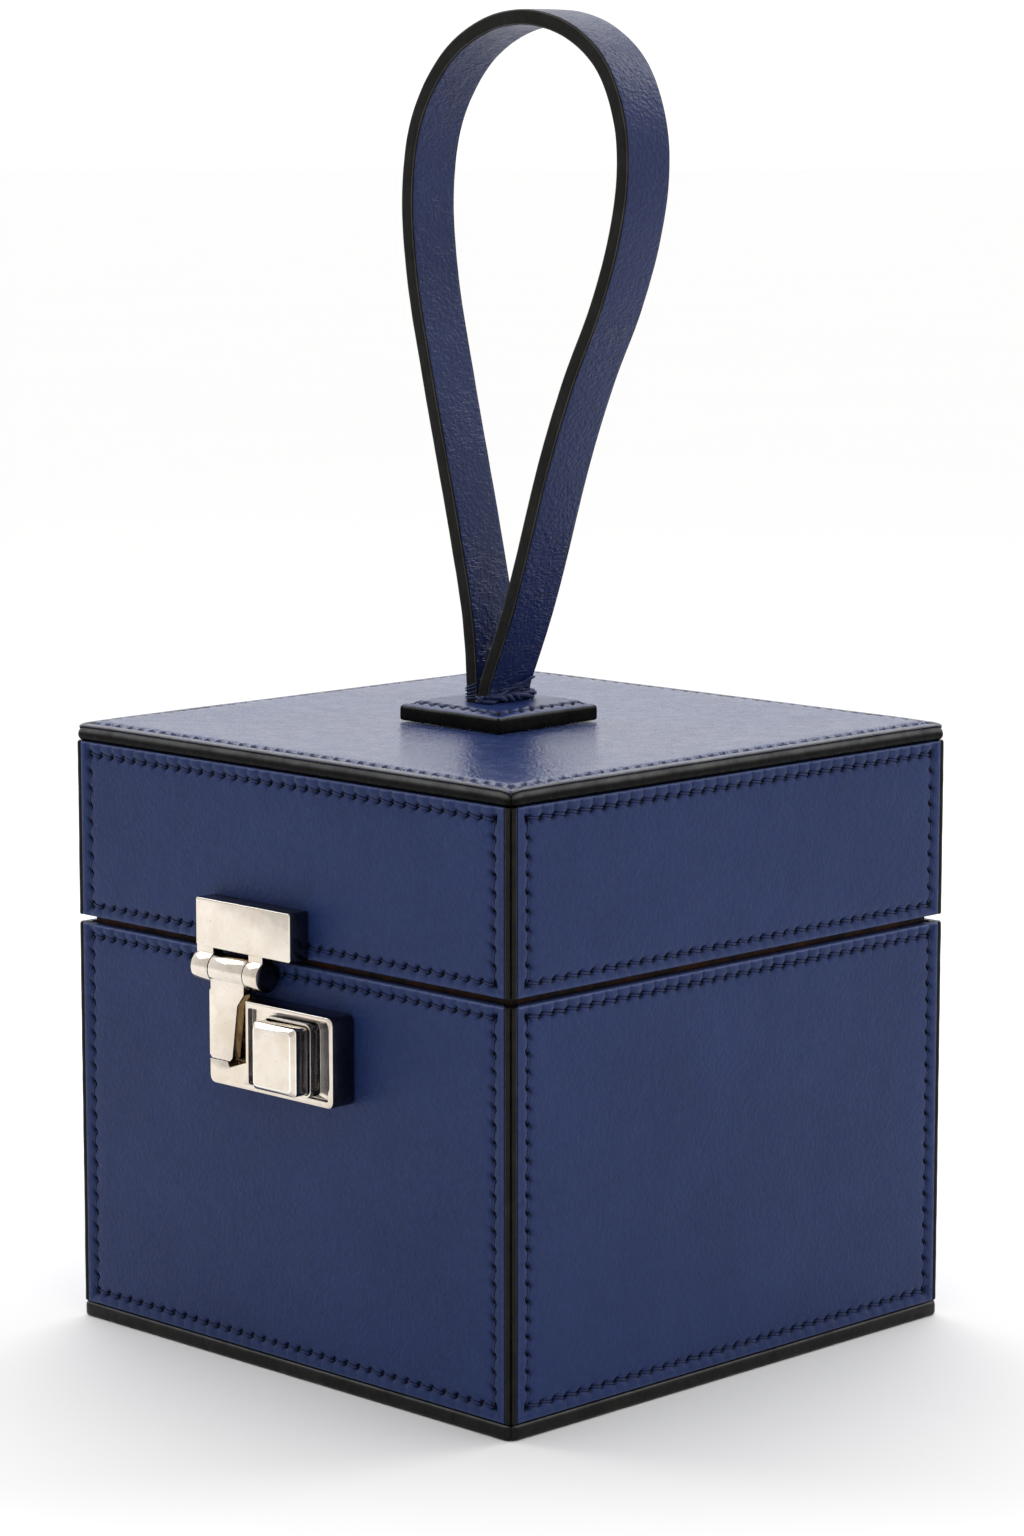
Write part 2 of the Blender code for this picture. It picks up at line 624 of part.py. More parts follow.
def build_hinge(lid_axis):
    """Two leaves with interleaved knuckles on one pin, on the outside of the back."""
    pitch = HINGE_LENGTH / HINGE_KNUCKLES
    bore = circle(HINGE_PIN_RADIUS + PIN_CLEARANCE)
    face = BOX_DEPTH / 2 + SEAM
    for name, up, first, parent in (("hinge_base_leaf", -1, 0, None), ("hinge_lid_leaf", 1, 1, lid_axis)):
        near = LID_AXIS.z + up * (HINGE_RADIUS + LEAF_CLEARANCE)
        far = near + up * LEAF_HEIGHT
        half = HINGE_LENGTH / 2
        outline = rounded_rectangle(2 * half, LEAF_HEIGHT, METAL_CORNER * 2)
        outline = shifted(outline, 0.0, (near + far) / 2)
        rings = [[(x, y, z) for x, z in outline] for y in (face, face + LEAF_THICKNESS)]
        leaf = finish_object(name, loft(rings), nickel(name), (0, face, near), 0.0, parent)
        for k in range(first, HINGE_KNUCKLES, 2):
            low = -half + k * pitch + KNUCKLE_GAP / 2
            high = low + pitch - KNUCKLE_GAP
            reach = abs(near - LID_AXIS.z) + METAL_CORNER * 2
            turned = [
                (-y, up * z) for y, z in keyhole(HINGE_RADIUS, LEAF_THICKNESS, HINGE_RADIUS)
            ]
            knuckle = prism_along_x(turned, LID_AXIS, low, high)
            boolean(leaf, "UNION", knuckle, name + "_knuckle_" + str(k))
            web_low = face + ARRIS / 4
            web_high = face + LEAF_THICKNESS - ARRIS / 4
            side = [
                (web_low - LID_AXIS.y, 0.0),
                (web_high - LID_AXIS.y, 0.0),
                (web_high - LID_AXIS.y, up * reach),
                (web_low - LID_AXIS.y, up * reach),
            ]
            inside = ARRIS / 4
            web = prism_along_x(side, LID_AXIS, low + inside, high - inside)
            boolean(leaf, "UNION", web, name + "_web_" + str(k))
        cutter = prism_along_x(bore, LID_AXIS, -half - HINGE_RADIUS, half + HINGE_RADIUS)
        boolean(leaf, "DIFFERENCE", cutter, name + "_bore")
    pin = prism_along_x(circle(HINGE_PIN_RADIUS), LID_AXIS, -HINGE_LENGTH / 2, HINGE_LENGTH / 2)
    finish_object("hinge_pin", pin, nickel("hinge_pin"), LID_AXIS)


def main():
    for old in list(bpy.data.objects):
        bpy.data.objects.remove(old)
    lid_axis = axis_empty("lid_axis", LID_AXIS)
    hasp_axis = axis_empty("hasp_axis", HASP_AXIS)
    build_base()
    build_lid(lid_axis)
    build_handle(lid_axis)
    build_clasp(lid_axis, hasp_axis)
    build_lock()
    build_hinge(lid_axis)


main()
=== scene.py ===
import math

import bmesh
import bpy
import numpy as np
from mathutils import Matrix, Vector, noise
from mathutils.geometry import delaunay_2d_cdt


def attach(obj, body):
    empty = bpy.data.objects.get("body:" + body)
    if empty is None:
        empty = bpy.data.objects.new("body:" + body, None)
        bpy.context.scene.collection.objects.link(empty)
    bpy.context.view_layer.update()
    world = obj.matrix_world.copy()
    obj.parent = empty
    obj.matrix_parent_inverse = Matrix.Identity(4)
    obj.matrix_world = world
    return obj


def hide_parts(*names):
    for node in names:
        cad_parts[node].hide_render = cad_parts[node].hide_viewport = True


MM = 0.001
HALF = 65 * MM
BASE_TOP = 85.7 * MM
LID_BOTTOM = 87.4 * MM
BOTTOM_SHEET = 3.1 * MM
SHEET_UNDERSIDE = 124.7 * MM
BOX_HEIGHT = 128 * MM
SEAM = 0.3 * MM
CORNER_INSET = 2.1 * MM
HANDLE_X = -3.6 * MM
PATCH_TOP = 131.1 * MM
STITCH_PITCH = 3.5 * MM
CORNER_DROP = 0.4 * MM
CORNER_REACH = 3.5 * MM
MESH_STEP = 0.33 * MM
FILL_STEP = 9 * MM

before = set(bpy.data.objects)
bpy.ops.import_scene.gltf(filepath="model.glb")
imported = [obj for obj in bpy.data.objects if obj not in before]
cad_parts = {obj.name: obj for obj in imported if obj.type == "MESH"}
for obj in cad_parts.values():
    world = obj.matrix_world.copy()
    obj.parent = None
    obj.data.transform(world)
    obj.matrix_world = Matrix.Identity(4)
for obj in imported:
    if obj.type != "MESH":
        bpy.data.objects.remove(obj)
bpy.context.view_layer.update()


def add(tree, kind, inputs=None, **settings):
    """A node with its settings and its inputs, each a value or another node's output."""
    node = tree.nodes.new(kind)
    for key, value in settings.items():
        setattr(node, key, value)
    for key, value in (inputs or {}).items():
        socket = node.inputs[key]
        if isinstance(value, bpy.types.NodeSocket):
            tree.links.new(value, socket)
        else:
            socket.default_value = value
    return node


def start_material(name, specular, metallic=0.0):
    material = bpy.data.materials.new(name)
    material.use_nodes = True
    tree = material.node_tree
    shader = tree.nodes["Principled BSDF"]
    shader.inputs["Specular IOR Level"].default_value = specular
    shader.inputs["Metallic"].default_value = metallic
    place = add(tree, "ShaderNodeTexCoord").outputs["Object"]
    return material, tree, shader, place


def noise_at(tree, place, scale, detail=3.0, roughness=0.5, distortion=0.0):
    inputs = {"Vector": place, "Scale": scale, "Detail": detail, "Roughness": roughness,
              "Distortion": distortion}
    return add(tree, "ShaderNodeTexNoise", inputs).outputs["Fac"]


def cells_at(tree, place, scale, feature="SMOOTH_F1"):
    inputs = {"Vector": place, "Scale": scale}
    return add(tree, "ShaderNodeTexVoronoi", inputs, feature=feature).outputs["Distance"]


def ramp(tree, value, low, high, to_low=0.0, to_high=1.0):
    inputs = {"Value": value, "From Min": low, "From Max": high, "To Min": to_low, "To Max": to_high}
    return add(tree, "ShaderNodeMapRange", inputs).outputs["Result"]


def math_node(tree, operation, first, second):
    return add(tree, "ShaderNodeMath", {0: first, 1: second}, operation=operation).outputs[0]


def mix_colors(tree, factor, first, second, blend="MIX"):
    node = add(tree, "ShaderNodeMix", {0: factor}, data_type="RGBA", blend_type=blend)
    for index, value in ((6, first), (7, second)):
        if isinstance(value, bpy.types.NodeSocket):
            tree.links.new(value, node.inputs[index])
        else:
            node.inputs[index].default_value = (*value, 1.0)
    return node.outputs[2]


def bump_from(tree, height, distance, strength=1.0, normal=None):
    inputs = {"Height": height, "Distance": distance, "Strength": strength}
    if normal is not None:
        inputs["Normal"] = normal
    return add(tree, "ShaderNodeBump", inputs).outputs["Normal"]


def stretched(tree, place, scale):
    return add(tree, "ShaderNodeMapping", {"Vector": place, "Scale": scale}).outputs["Vector"]


def warped(tree, place, scale, amount):
    """The place shifted by noise, so that cells aren't regular."""
    shift = add(tree, "ShaderNodeTexNoise", {"Vector": place, "Scale": scale}).outputs["Color"]
    shift = add(tree, "ShaderNodeVectorMath", {0: shift, 3: amount}, operation="SCALE").outputs[0]
    return add(tree, "ShaderNodeVectorMath", {0: place, 1: shift}, operation="ADD").outputs[0]


def factor_of(tree, name):
    return add(tree, "ShaderNodeAttribute", attribute_name=name).outputs["Fac"]


def leather_material(name, dark, light, rough=0.44, grain=1.0, specular=0.16, pebble_scale=1250.0):
    """Fine-grained leather: pebbles, pores, slow colour changes, painted shade near black in stitch holes,
    grooves and creases, and a painted highlight, partly real wear, along edges.
    """
    material, tree, shader, place = start_material(name, specular)
    links = tree.links
    cloud = noise_at(tree, place, 38.0, 4.0, 0.55)
    fine = noise_at(tree, place, 900.0, 3.0, 0.6)
    color = mix_colors(tree, ramp(tree, cloud, 0.35, 0.65), dark, light)
    speckle = ramp(tree, fine, 0.3, 0.7, 0.88, 1.12)
    shade = add(tree, "ShaderNodeCombineColor", {0: speckle, 1: speckle, 2: speckle}).outputs[0]
    color = mix_colors(tree, 1.0, color, shade, "MULTIPLY")
    hollow = factor_of(tree, "hollow")
    wear_and_highlight = math_node(tree, "MULTIPLY", factor_of(tree, "wear"), ramp(tree, fine, 0.3, 0.65, 0.55, 1.0))
    # painted highlight, partly real wear: lighter blue along lit edges, where the points' edge factor is
    # high
    color = mix_colors(tree, wear_and_highlight, color, (0.105, 0.135, 0.29))
    # painted shade: near black in stitch holes, grooves and creases
    color = mix_colors(tree, ramp(tree, hollow, 0.05, 0.9, 0.0, 0.95), color, (0.001, 0.0014, 0.004))
    links.new(color, shader.inputs["Base Color"])
    warp = noise_at(tree, place, 260.0, 2.0)
    pebbles = cells_at(tree, warped(tree, place, 420.0, 0.0009), pebble_scale)
    pores = noise_at(tree, place, 2600.0, 2.0, 0.6)
    rolls = noise_at(tree, place, 55.0, 2.0, 0.4)
    wrinkles = cells_at(tree, warped(tree, stretched(tree, place, (1.3, 0.42, 1.3)), 500.0, 0.0028), 760.0,
                        "DISTANCE_TO_EDGE")
    broken = ramp(tree, noise_at(tree, place, 330.0, 3.0, 0.6), 0.38, 0.62)
    folds = math_node(tree, "MULTIPLY", ramp(tree, wrinkles, 0.0, 0.22), factor_of(tree, "crease"))
    folds = math_node(tree, "MULTIPLY", folds, broken)
    normal = bump_from(tree, rolls, 0.00028)
    normal = bump_from(tree, folds, 0.00020, 1.0, normal)
    normal = bump_from(tree, pebbles, 0.00009 * grain, 1.0, normal)
    normal = bump_from(tree, pores, 0.00003 * grain, 1.0, normal)
    links.new(normal, shader.inputs["Normal"])
    roughness = math_node(tree, "ADD", ramp(tree, warp, 0.3, 0.7, rough - 0.04, rough + 0.05),
                          ramp(tree, hollow, 0.0, 1.0, 0.0, 0.3))
    links.new(roughness, shader.inputs["Roughness"])
    return material


def edge_material(name, dark=(0.0030, 0.0030, 0.0030), light=(0.0110, 0.0100, 0.0080), rough=0.31,
                  specular=0.14):
    """Black edge paint: satin, laid on in slightly uneven strokes, warmer where it has worn, with a painted
    highlight in light grey on lit arrises and painted shade near black in grooves, notches and on
    undersides.
    """
    material, tree, shader, place = start_material(name, specular)
    links = tree.links
    wear_and_highlight = noise_at(tree, place, 240.0, 5.0, 0.6)
    hollow = factor_of(tree, "hollow")
    color = mix_colors(tree, ramp(tree, wear_and_highlight, 0.4, 0.72), dark, light)
    # painted highlight: light grey on lit arrises, where the points' edge factor is high
    painted_highlight = math_node(tree, "MULTIPLY", factor_of(tree, "wear"), ramp(tree, wear_and_highlight, 0.3, 0.6, 0.5, 1.0))
    color = mix_colors(tree, painted_highlight, color, (0.20, 0.20, 0.20))
    # painted shade: near black in grooves, notches and on the bead's lower part
    color = mix_colors(tree, ramp(tree, hollow, 0.05, 0.9, 0.0, 0.9), color, (0.0005, 0.0005, 0.0005))
    links.new(color, shader.inputs["Base Color"])
    lumps = noise_at(tree, place, 420.0, 3.0, 0.5)
    grit = noise_at(tree, place, 2400.0, 2.0, 0.5)
    normal = bump_from(tree, lumps, 0.00016)
    normal = bump_from(tree, grit, 0.00002, 1.0, normal)
    links.new(normal, shader.inputs["Normal"])
    links.new(ramp(tree, lumps, 0.3, 0.7, rough - 0.05, rough + 0.08), shader.inputs["Roughness"])
    return material


def lining_material(name):
    """Tan lining leather with a short nap."""
    material, tree, shader, place = start_material(name, 0.2)
    links = tree.links
    nap = noise_at(tree, place, 700.0, 5.0, 0.7)
    cloud = noise_at(tree, place, 45.0, 4.0, 0.6)
    color = mix_colors(tree, ramp(tree, cloud, 0.3, 0.7), (0.30, 0.095, 0.022), (0.42, 0.150, 0.042))
    color = mix_colors(tree, ramp(tree, nap, 0.3, 0.7, 0.0, 0.45), color, (0.20, 0.06, 0.014))
    links.new(color, shader.inputs["Base Color"])
    links.new(bump_from(tree, nap, 0.00012), shader.inputs["Normal"])
    links.new(ramp(tree, nap, 0.2, 0.8, 0.62, 0.82), shader.inputs["Roughness"])
    return material


def thread_material(name):
    """Waxed navy thread, two plies twisted."""
    material, tree, shader, place = start_material(name, 0.2)
    links = tree.links
    fuzz = noise_at(tree, place, 1800.0, 3.0, 0.6)
    color = mix_colors(tree, ramp(tree, fuzz, 0.3, 0.7), (0.008, 0.014, 0.052), (0.022, 0.034, 0.105))
    links.new(color, shader.inputs["Base Color"])
    links.new(bump_from(tree, fuzz, 0.00009), shader.inputs["Normal"])
    links.new(ramp(tree, fuzz, 0.3, 0.7, 0.40, 0.55), shader.inputs["Roughness"])
    return material


def nickel_material(name, rough=0.09, low=(0.68, 0.610, 0.53), high=(0.78, 0.715, 0.63),
                    blotches=(0.60, 0.49, 0.37)):
    """Polished nickel, warm and a little mottled, with hairline scratches and specks."""
    material, tree, shader, place = start_material(name, 0.5, 1.0)
    links = tree.links
    mottle = noise_at(tree, place, 210.0, 6.0, 0.65, 0.4)
    blotch = noise_at(tree, place, 95.0, 5.0, 0.65, 0.8)
    color = mix_colors(tree, ramp(tree, mottle, 0.34, 0.66), low, high)
    color = mix_colors(tree, ramp(tree, blotch, 0.52, 0.70, 0.0, 0.5), color, blotches)
    specks = ramp(tree, noise_at(tree, place, 1500.0, 2.0, 0.5), 0.68, 0.76, 0.0, 0.55)
    color = mix_colors(tree, specks, color, tuple(0.3 * c for c in low))
    links.new(color, shader.inputs["Base Color"])
    slanted = add(tree, "ShaderNodeMapping", {
        "Vector": place, "Rotation": (0.0, 0.7, 0.2), "Scale": (2600.0, 900.0, 60.0)}).outputs["Vector"]
    lines = noise_at(tree, slanted, 1.0, 2.0, 0.5)
    scratches = ramp(tree, lines, 0.66, 0.72)
    dents = noise_at(tree, place, 150.0, 3.0, 0.5)
    normal = bump_from(tree, dents, 0.00003)
    normal = bump_from(tree, scratches, 0.000004, 1.0, normal)
    links.new(normal, shader.inputs["Normal"])
    smear = noise_at(tree, place, 340.0, 4.0, 0.6)
    links.new(ramp(tree, smear, 0.3, 0.72, rough - 0.03, rough + 0.07), shader.inputs["Roughness"])
    return material


LEATHER = leather_material("navy_leather", (0.0112, 0.0238, 0.088), (0.0137, 0.0280, 0.101))
# painted light: the lid's top gets a lighter, bluer copy of the leather because it is lit more from above
LIT_TOP_LEATHER = leather_material("navy_leather_painted_lit_top", (0.0175, 0.0345, 0.127), (0.0210, 0.0405, 0.146),
                               0.24, 1.6, 0.55, 1500.0)
PATCH_LEATHER = leather_material("navy_leather_patch", (0.0130, 0.0270, 0.108), (0.0165, 0.0330, 0.128),
                                 0.33, 0.5, 0.28)
STRAP_LEATHER = leather_material("navy_leather_strap", (0.0080, 0.0160, 0.070), (0.0118, 0.0220, 0.088),
                                 0.36, 1.6, 0.22)
EDGE = edge_material("black_edge_paint")
BEAD = edge_material("black_bead_paint", (0.0022, 0.0022, 0.0022), (0.0075, 0.0070, 0.0058), 0.28, 0.05)
STRAP_EDGE = edge_material("strap_edge_paint", (0.0050, 0.0050, 0.0042), (0.0105, 0.0102, 0.0082),
                           0.45, 0.10)
LIP = edge_material("grey_leather_edge", (0.020, 0.024, 0.040), (0.045, 0.050, 0.075), 0.38, 0.3)
# painted shade: dark brown for the lining's outside where it shows through the gap
GAP_SHADE = edge_material("painted_gap_shade", (0.0025, 0.0012, 0.0006), (0.060, 0.0150, 0.0028), 0.5)
LINING = lining_material("tan_lining_leather")
THREAD = thread_material("navy_thread")
NICKEL = nickel_material("polished_nickel")
# painted highlight: near-white nickel for the rounded edges that face forward
NICKEL_HIGHLIGHT = nickel_material("nickel_painted_arris_highlight", 0.12, (0.93, 0.91, 0.87), (0.98, 0.96, 0.93),
                               (0.88, 0.83, 0.76))
# painted shade: near-black nickel for side faces and the barrel's end, which reflect shaded leather
NICKEL_SHADE = nickel_material("nickel_painted_side_shade", 0.20, (0.060, 0.062, 0.075), (0.12, 0.12, 0.14),
                              (0.03, 0.03, 0.035))
# worn brassy nickel for the channel, darkened with painted shade
NICKEL_WORN_SHADED = nickel_material("worn_nickel_channel_painted_shade", 0.22, (0.16, 0.11, 0.06), (0.34, 0.24, 0.13),
                                (0.05, 0.03, 0.02))


def scene_object(name, data):
    """A new object in the scene."""
    made = bpy.data.objects.new(name, data)
    bpy.context.scene.collection.objects.link(made)
    return made


def finish_piece(name, verts, faces, materials, body, nodes=(), slot="leather_navy", indices=None,
                 sharp=None, **factors):
    """A mesh object that rides on a body and stands for nodes; factors are values at its points."""
    mesh = bpy.data.meshes.new(name)
    mesh.from_pydata([tuple(v) for v in verts], [], [tuple(f) for f in faces])
    for material in materials:
        mesh.materials.append(material)
    if indices is not None:
        mesh.polygons.foreach_set("material_index", np.asarray(indices, dtype=np.int32))
    for factor, values in factors.items():
        layer = mesh.attributes.new(factor, "FLOAT", "POINT")
        layer.data.foreach_set("value", np.asarray(values, dtype=np.float32))
    mesh.shade_smooth()
    if sharp:
        mesh.set_sharp_from_angle(angle=math.radians(sharp))
    mesh.update()
    piece = scene_object(name, mesh)
    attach(piece, body)
    if nodes:
        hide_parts(*nodes)
    return piece


def smoothstep(x):
    x = np.clip(x, 0.0, 1.0)
    return x * x * (3 - 2 * x)


def rectangle_ring(rect, counts):
    """Points round a rectangle, counterclockwise from its low corner, so many on each side."""
    u0, u1, v0, v1 = rect
    corners = ((u0, v0), (u1, v0), (u1, v1), (u0, v1))
    points = []
    for i in range(4):
        a = np.array(corners[i])
        b = np.array(corners[(i + 1) % 4])
        t = np.arange(counts[i % 2])[:, None] / counts[i % 2]
        points.append(a + (b - a) * t)
    return np.concatenate(points)


def ring_faces(rings, size, base=0, caps=True):
    """Faces that join so many rings of so many points each, with both ends closed."""
    faces = []
    for r in range(rings - 1):
        a = base + r * size
        for i in range(size):
            j = (i + 1) % size
            faces.append((a + i, a + j, a + size + j, a + size + i))
    if caps:
        faces.append(tuple(base + i for i in reversed(range(size))))
        faces.append(tuple(base + (rings - 1) * size + i for i in range(size)))
    return faces


def wobble(points, scale, seed):
    """Smooth noise from -1 to 1 at 3-D points given in metres."""
    shift = Vector((seed * 7.31, seed * 3.17, seed * 5.53))
    return np.array([noise.noise(Vector(p) * scale + shift) for p in points])


def sewn_rows(rect, pitch):
    """The four rows of a sewn rectangle: start, direction, inward direction, length and stitches."""
    u0, u1, v0, v1 = rect
    corners = [np.array(c) for c in ((u0, v0), (u1, v0), (u1, v1), (u0, v1))]
    rows = []
    for i in range(4):
        span = corners[(i + 1) % 4] - corners[i]
        length = float(np.hypot(*span))
        along = span / length
        inward = np.array((-along[1], along[0]))
        rows.append((corners[i], along, inward, length, max(1, round(length / pitch))))
    return rows


def thread_offset(t):
    """How far inward the thread's middle lies along one stitch, from -0.5 to 0.5."""
    return (-0.62 * t - 0.10 * np.cos(math.pi * t)) * MM


def sew(u, v, rows, seed, pull=1.0, puckers=(0.22, 0.16, 0.50, 0.16)):
    """How far the leather rises round stitches, and how much painted shade each point gets in holes, grooves
    and creases; puckers are by row, in mm.
    """
    rise = np.zeros(len(u))
    hollow = np.zeros(len(u))
    for index, (start, along, inward, length, count) in enumerate(rows):
        pitch = length / count
        s = (u - start[0]) * along[0] + (v - start[1]) * along[1]
        n = (u - start[0]) * inward[0] + (v - start[1]) * inward[1]
        near = (np.abs(n) < 4 * MM) & (s > -1.2 * MM) & (s < length + 1.2 * MM)
        random = np.random.RandomState(seed * 13 + index)
        vary = random.uniform(-1, 1, count + 1)
        k = np.clip(np.floor(s / pitch), 0, count - 1).astype(int)
        t = s / pitch - k - 0.5
        middle = thread_offset(t)
        width = 0.40 * MM * np.sqrt(np.clip(1 - (t / 0.5) ** 2, 0, 1))
        sunk = smoothstep((width - np.abs(n - middle)) / (0.20 * MM))
        end = np.clip(np.rint(s / pitch), 0, count).astype(int)
        ds = s - end * pitch
        ahead = (ds + n) / math.sqrt(2)
        aside = (n - ds) / math.sqrt(2)
        hole = np.exp(-(ahead / (0.92 * MM)) ** 2 - (aside / (0.40 * MM)) ** 2)
        pillow = np.sqrt(np.clip(1 - (2 * np.clip(t, -0.5, 0.5)) ** 2, 0, 1))
        outside = smoothstep((-n - 0.25 * MM) / (0.5 * MM)) * smoothstep((3.1 * MM + n) / (1.2 * MM))
        inside = smoothstep((n - 0.2 * MM) / (0.4 * MM)) * smoothstep((1.6 * MM - n) / (1.2 * MM))
        tug = np.exp(-(n / (1.4 * MM)) ** 2)
        crease = outside * np.exp(-((ds - 0.12 * n) / (0.17 * MM)) ** 2) * min(1.0, puckers[index] * 2) ** 2
        # painted shade in the pucker creases
        hollow = np.maximum(hollow, np.where(near, 0.5 * crease, 0))
        lift = outside * puckers[index] * (pillow - 0.62) * (1 + 0.45 * vary[k])
        lift = lift + inside * 0.10 * (pillow - 0.5) * (1 + 0.6 * vary[k])
        lift = lift - 0.14 * tug - (0.34 + 0.06 * vary[k]) * sunk
        lift = lift - (1.0 + 0.2 * vary[end]) * hole
        rise += np.where(near, lift * pull * MM, 0)
        # painted shade in the thread's groove and in the holes
        hollow = np.maximum(hollow, np.where(near, np.maximum(0.22 * sunk, 1.6 * hole), 0))
    return rise, np.clip(hollow, 0, 1)


def stitches(name, rows, place, body, seed, girth=1.0):
    """All the stitches of one sewn rectangle as a single mesh of twisted, tapered threads."""
    verts = []
    faces = []
    rings = 8
    sides = 8
    random = np.random.RandomState(seed)
    t = np.linspace(-0.43, 0.43, rings)
    turn = np.arange(sides) * 2 * math.pi / sides
    for start, along, inward, length, count in rows:
        pitch = length / count
        for k in range(count):
            size = girth * (0.24 + 0.03 * random.uniform(-1, 1)) * MM
            tilt = random.uniform(-0.10, 0.10) * MM
            height = random.uniform(-0.20, -0.08) * MM
            base = len(verts)
            for ti in t:
                s = (k + 0.5 + ti) * pitch
                n = thread_offset(ti) + tilt * ti
                radius = size * math.sqrt(max(1 - (ti / 0.5) ** 2, 0.05))
                d = height + (-0.52 + 0.42 * math.cos(math.pi * ti)) * MM * girth
                ply = 1 + 0.14 * np.cos(2 * turn + 9.0 * ti)
                nn = n + radius * ply * np.cos(turn)
                dd = d + 0.85 * radius * ply * np.sin(turn)
                u = start[0] + along[0] * s + inward[0] * nn
                v = start[1] + along[1] * s + inward[1] * nn
                verts.extend(place(u, v, dd))
            # turned the other way round, from the same first point
            faces.extend(face[:1] + face[:0:-1] for face in ring_faces(rings, sides, base))
    finish_piece(name, verts, faces, [THREAD], body)


def sheet_mesh(rings, counts, fill=True):
    """Rectangular rings from the outside in, joined by quads, with the middle filled by triangles."""
    points = []
    for rect, depth in rings:
        ring = rectangle_ring(rect, counts)
        points.append(np.column_stack((ring, np.full(len(ring), depth))))
    per_ring = len(points[0])
    flat = np.concatenate(points)
    faces = ring_faces(len(rings), per_ring, caps=False)
    bands = [r for r in range(len(rings) - 1) for _ in range(per_ring)]
    if fill:
        rect, depth = rings[-1]
        inner = [Vector(p[:2]) for p in points[-1]]
        u0, u1, v0, v1 = rect
        extra = []
        columns = max(2, int((u1 - u0) / FILL_STEP))
        lines = max(2, int((v1 - v0) / FILL_STEP))
        for i in range(1, columns):
            for j in range(1, lines):
                extra.append(Vector((u0 + (u1 - u0) * i / columns, v0 + (v1 - v0) * j / lines)))
        edges = [(i, (i + 1) % per_ring) for i in range(per_ring)]
        out, _, tris, *_ = delaunay_2d_cdt(inner + extra, edges, [], 1, 1e-9)
        base = (len(rings) - 1) * per_ring
        new = [(*p, depth) for p in out[per_ring:]]
        flat = np.concatenate((flat, np.array(new))) if new else flat
        for tri in tris:
            ids = [base + i if i < per_ring else len(rings) * per_ring + i - per_ring for i in tri]
            p, q, w = (flat[i] for i in ids)
            if (q[0] - p[0]) * (w[1] - p[1]) - (q[1] - p[1]) * (w[0] - p[0]) < 0:
                ids.reverse()
            faces.append(ids)
            bands.append(len(rings))
    return flat, faces, bands


def inset(rect, amount):
    u0, u1, v0, v1 = rect
    return (u0 + amount, u1 - amount, v0 + amount, v1 - amount)


FINE_RINGS = (
    # inset and height above the face, both in mm
    (0.0, -0.42), (0.03, -0.28), (0.11, -0.13), (0.24, -0.045), (0.42, 0.0), (0.8, 0.06), (1.2, 0.08),
    (1.5, 0.07), (1.75, 0.06), (1.95, 0.04), (2.15, 0.02),
    *((i, 0.0) for i in (2.35, 2.55, 2.75, 2.95, 3.15, 3.35, 3.55, 3.8, 4.2, 4.8, 5.8, 7.5)),
)


def side_place(quarter):
    """From across, up and outward on one wall to the box's frame."""
    cos = round(math.cos(quarter * math.pi / 2))
    sin = round(math.sin(quarter * math.pi / 2))

    def place(u, v, d):
        y = -HALF - d
        return np.column_stack((u * cos - y * sin, u * sin + y * cos, v))

    return place


def wall(prefix, side, quarter, z_low, z_high, thickness, top_row, side_row, low_row):
    """One leather wall with its sewn rows."""
    half = HALF - CORNER_INSET
    rect = (-half, half, z_low, z_high)
    body = prefix
    name = prefix + "_" + side
    seed = quarter + (4 if prefix == "lid" else 0)
    counts = (int(2 * half / MESH_STEP), int((z_high - z_low) / MESH_STEP))
    rings = [((-half + thickness, half - thickness, z_low, z_high), -thickness)]
    rings += [(inset(rect, i * MM), d * MM) for i, d in FINE_RINGS]
    flat, faces, _ = sheet_mesh(rings, counts)
    u, v, d = flat.T
    row_rect = (-half + side_row, half - side_row, z_low + low_row, z_high - top_row)
    rows = sewn_rows(row_rect, STITCH_PITCH)
    rise, hollow = sew(u, v, rows, seed)
    ease = smoothstep((np.minimum.reduce((half - np.abs(u), v - z_low, z_high - v)) / MM) / 0.5)
    waves = wobble(np.column_stack((u, v, np.zeros(len(u)))), 170.0, seed) * 0.05 * MM
    # painted highlight along the wall's arrises, brighter along its top edge, partly real wear
    rim = np.exp(-((np.minimum(half - np.abs(u), v - z_low)) / (0.5 * MM)) ** 2) * 0.22
    bright = 0.75 if prefix == "base" else 0.5
    upper = bright * np.exp(-((z_high - v - 0.1 * MM) / (0.22 * MM)) ** 2)
    wear = np.where(d > -1 * MM, np.maximum(rim, upper), 0)
    d = d + (rise + waves) * ease
    place = side_place(quarter)
    finish_piece(name + "_leather", place(u, v, d), faces, [LEATHER], body, (name,), hollow=hollow,
                 wear=wear)
    stitches(name + "_stitches", rows, place, body, seed)


def build_walls():
    for quarter, side in enumerate(("front", "right", "back", "left")):
        wall("base", side, quarter, BOTTOM_SHEET + SEAM, BASE_TOP, 2.5 * MM, 2.4 * MM, 2.9 * MM, 2.8 * MM)
        wall("lid", side, quarter, LID_BOTTOM, SHEET_UNDERSIDE - SEAM, 2.2 * MM, 2.5 * MM, 2.9 * MM,
             2.5 * MM)


def post_outline(back):
    """The corner's two round beads with a groove between, across and outward of the box's diagonal."""
    half = CORNER_INSET / math.sqrt(2) - SEAM
    bead = half / 2
    points = [(-back, half), (-back, -half)]
    for side in (-1, 1):
        for i in range(9):
            turn = math.pi * i / 8 - math.pi / 2
            points.append((bead * math.cos(turn), side * bead + bead * math.sin(turn)))
    kept = []
    for p in points:
        if not kept or math.dist(kept[-1], p) > 0.02 * MM:
            kept.append(p)
    return kept


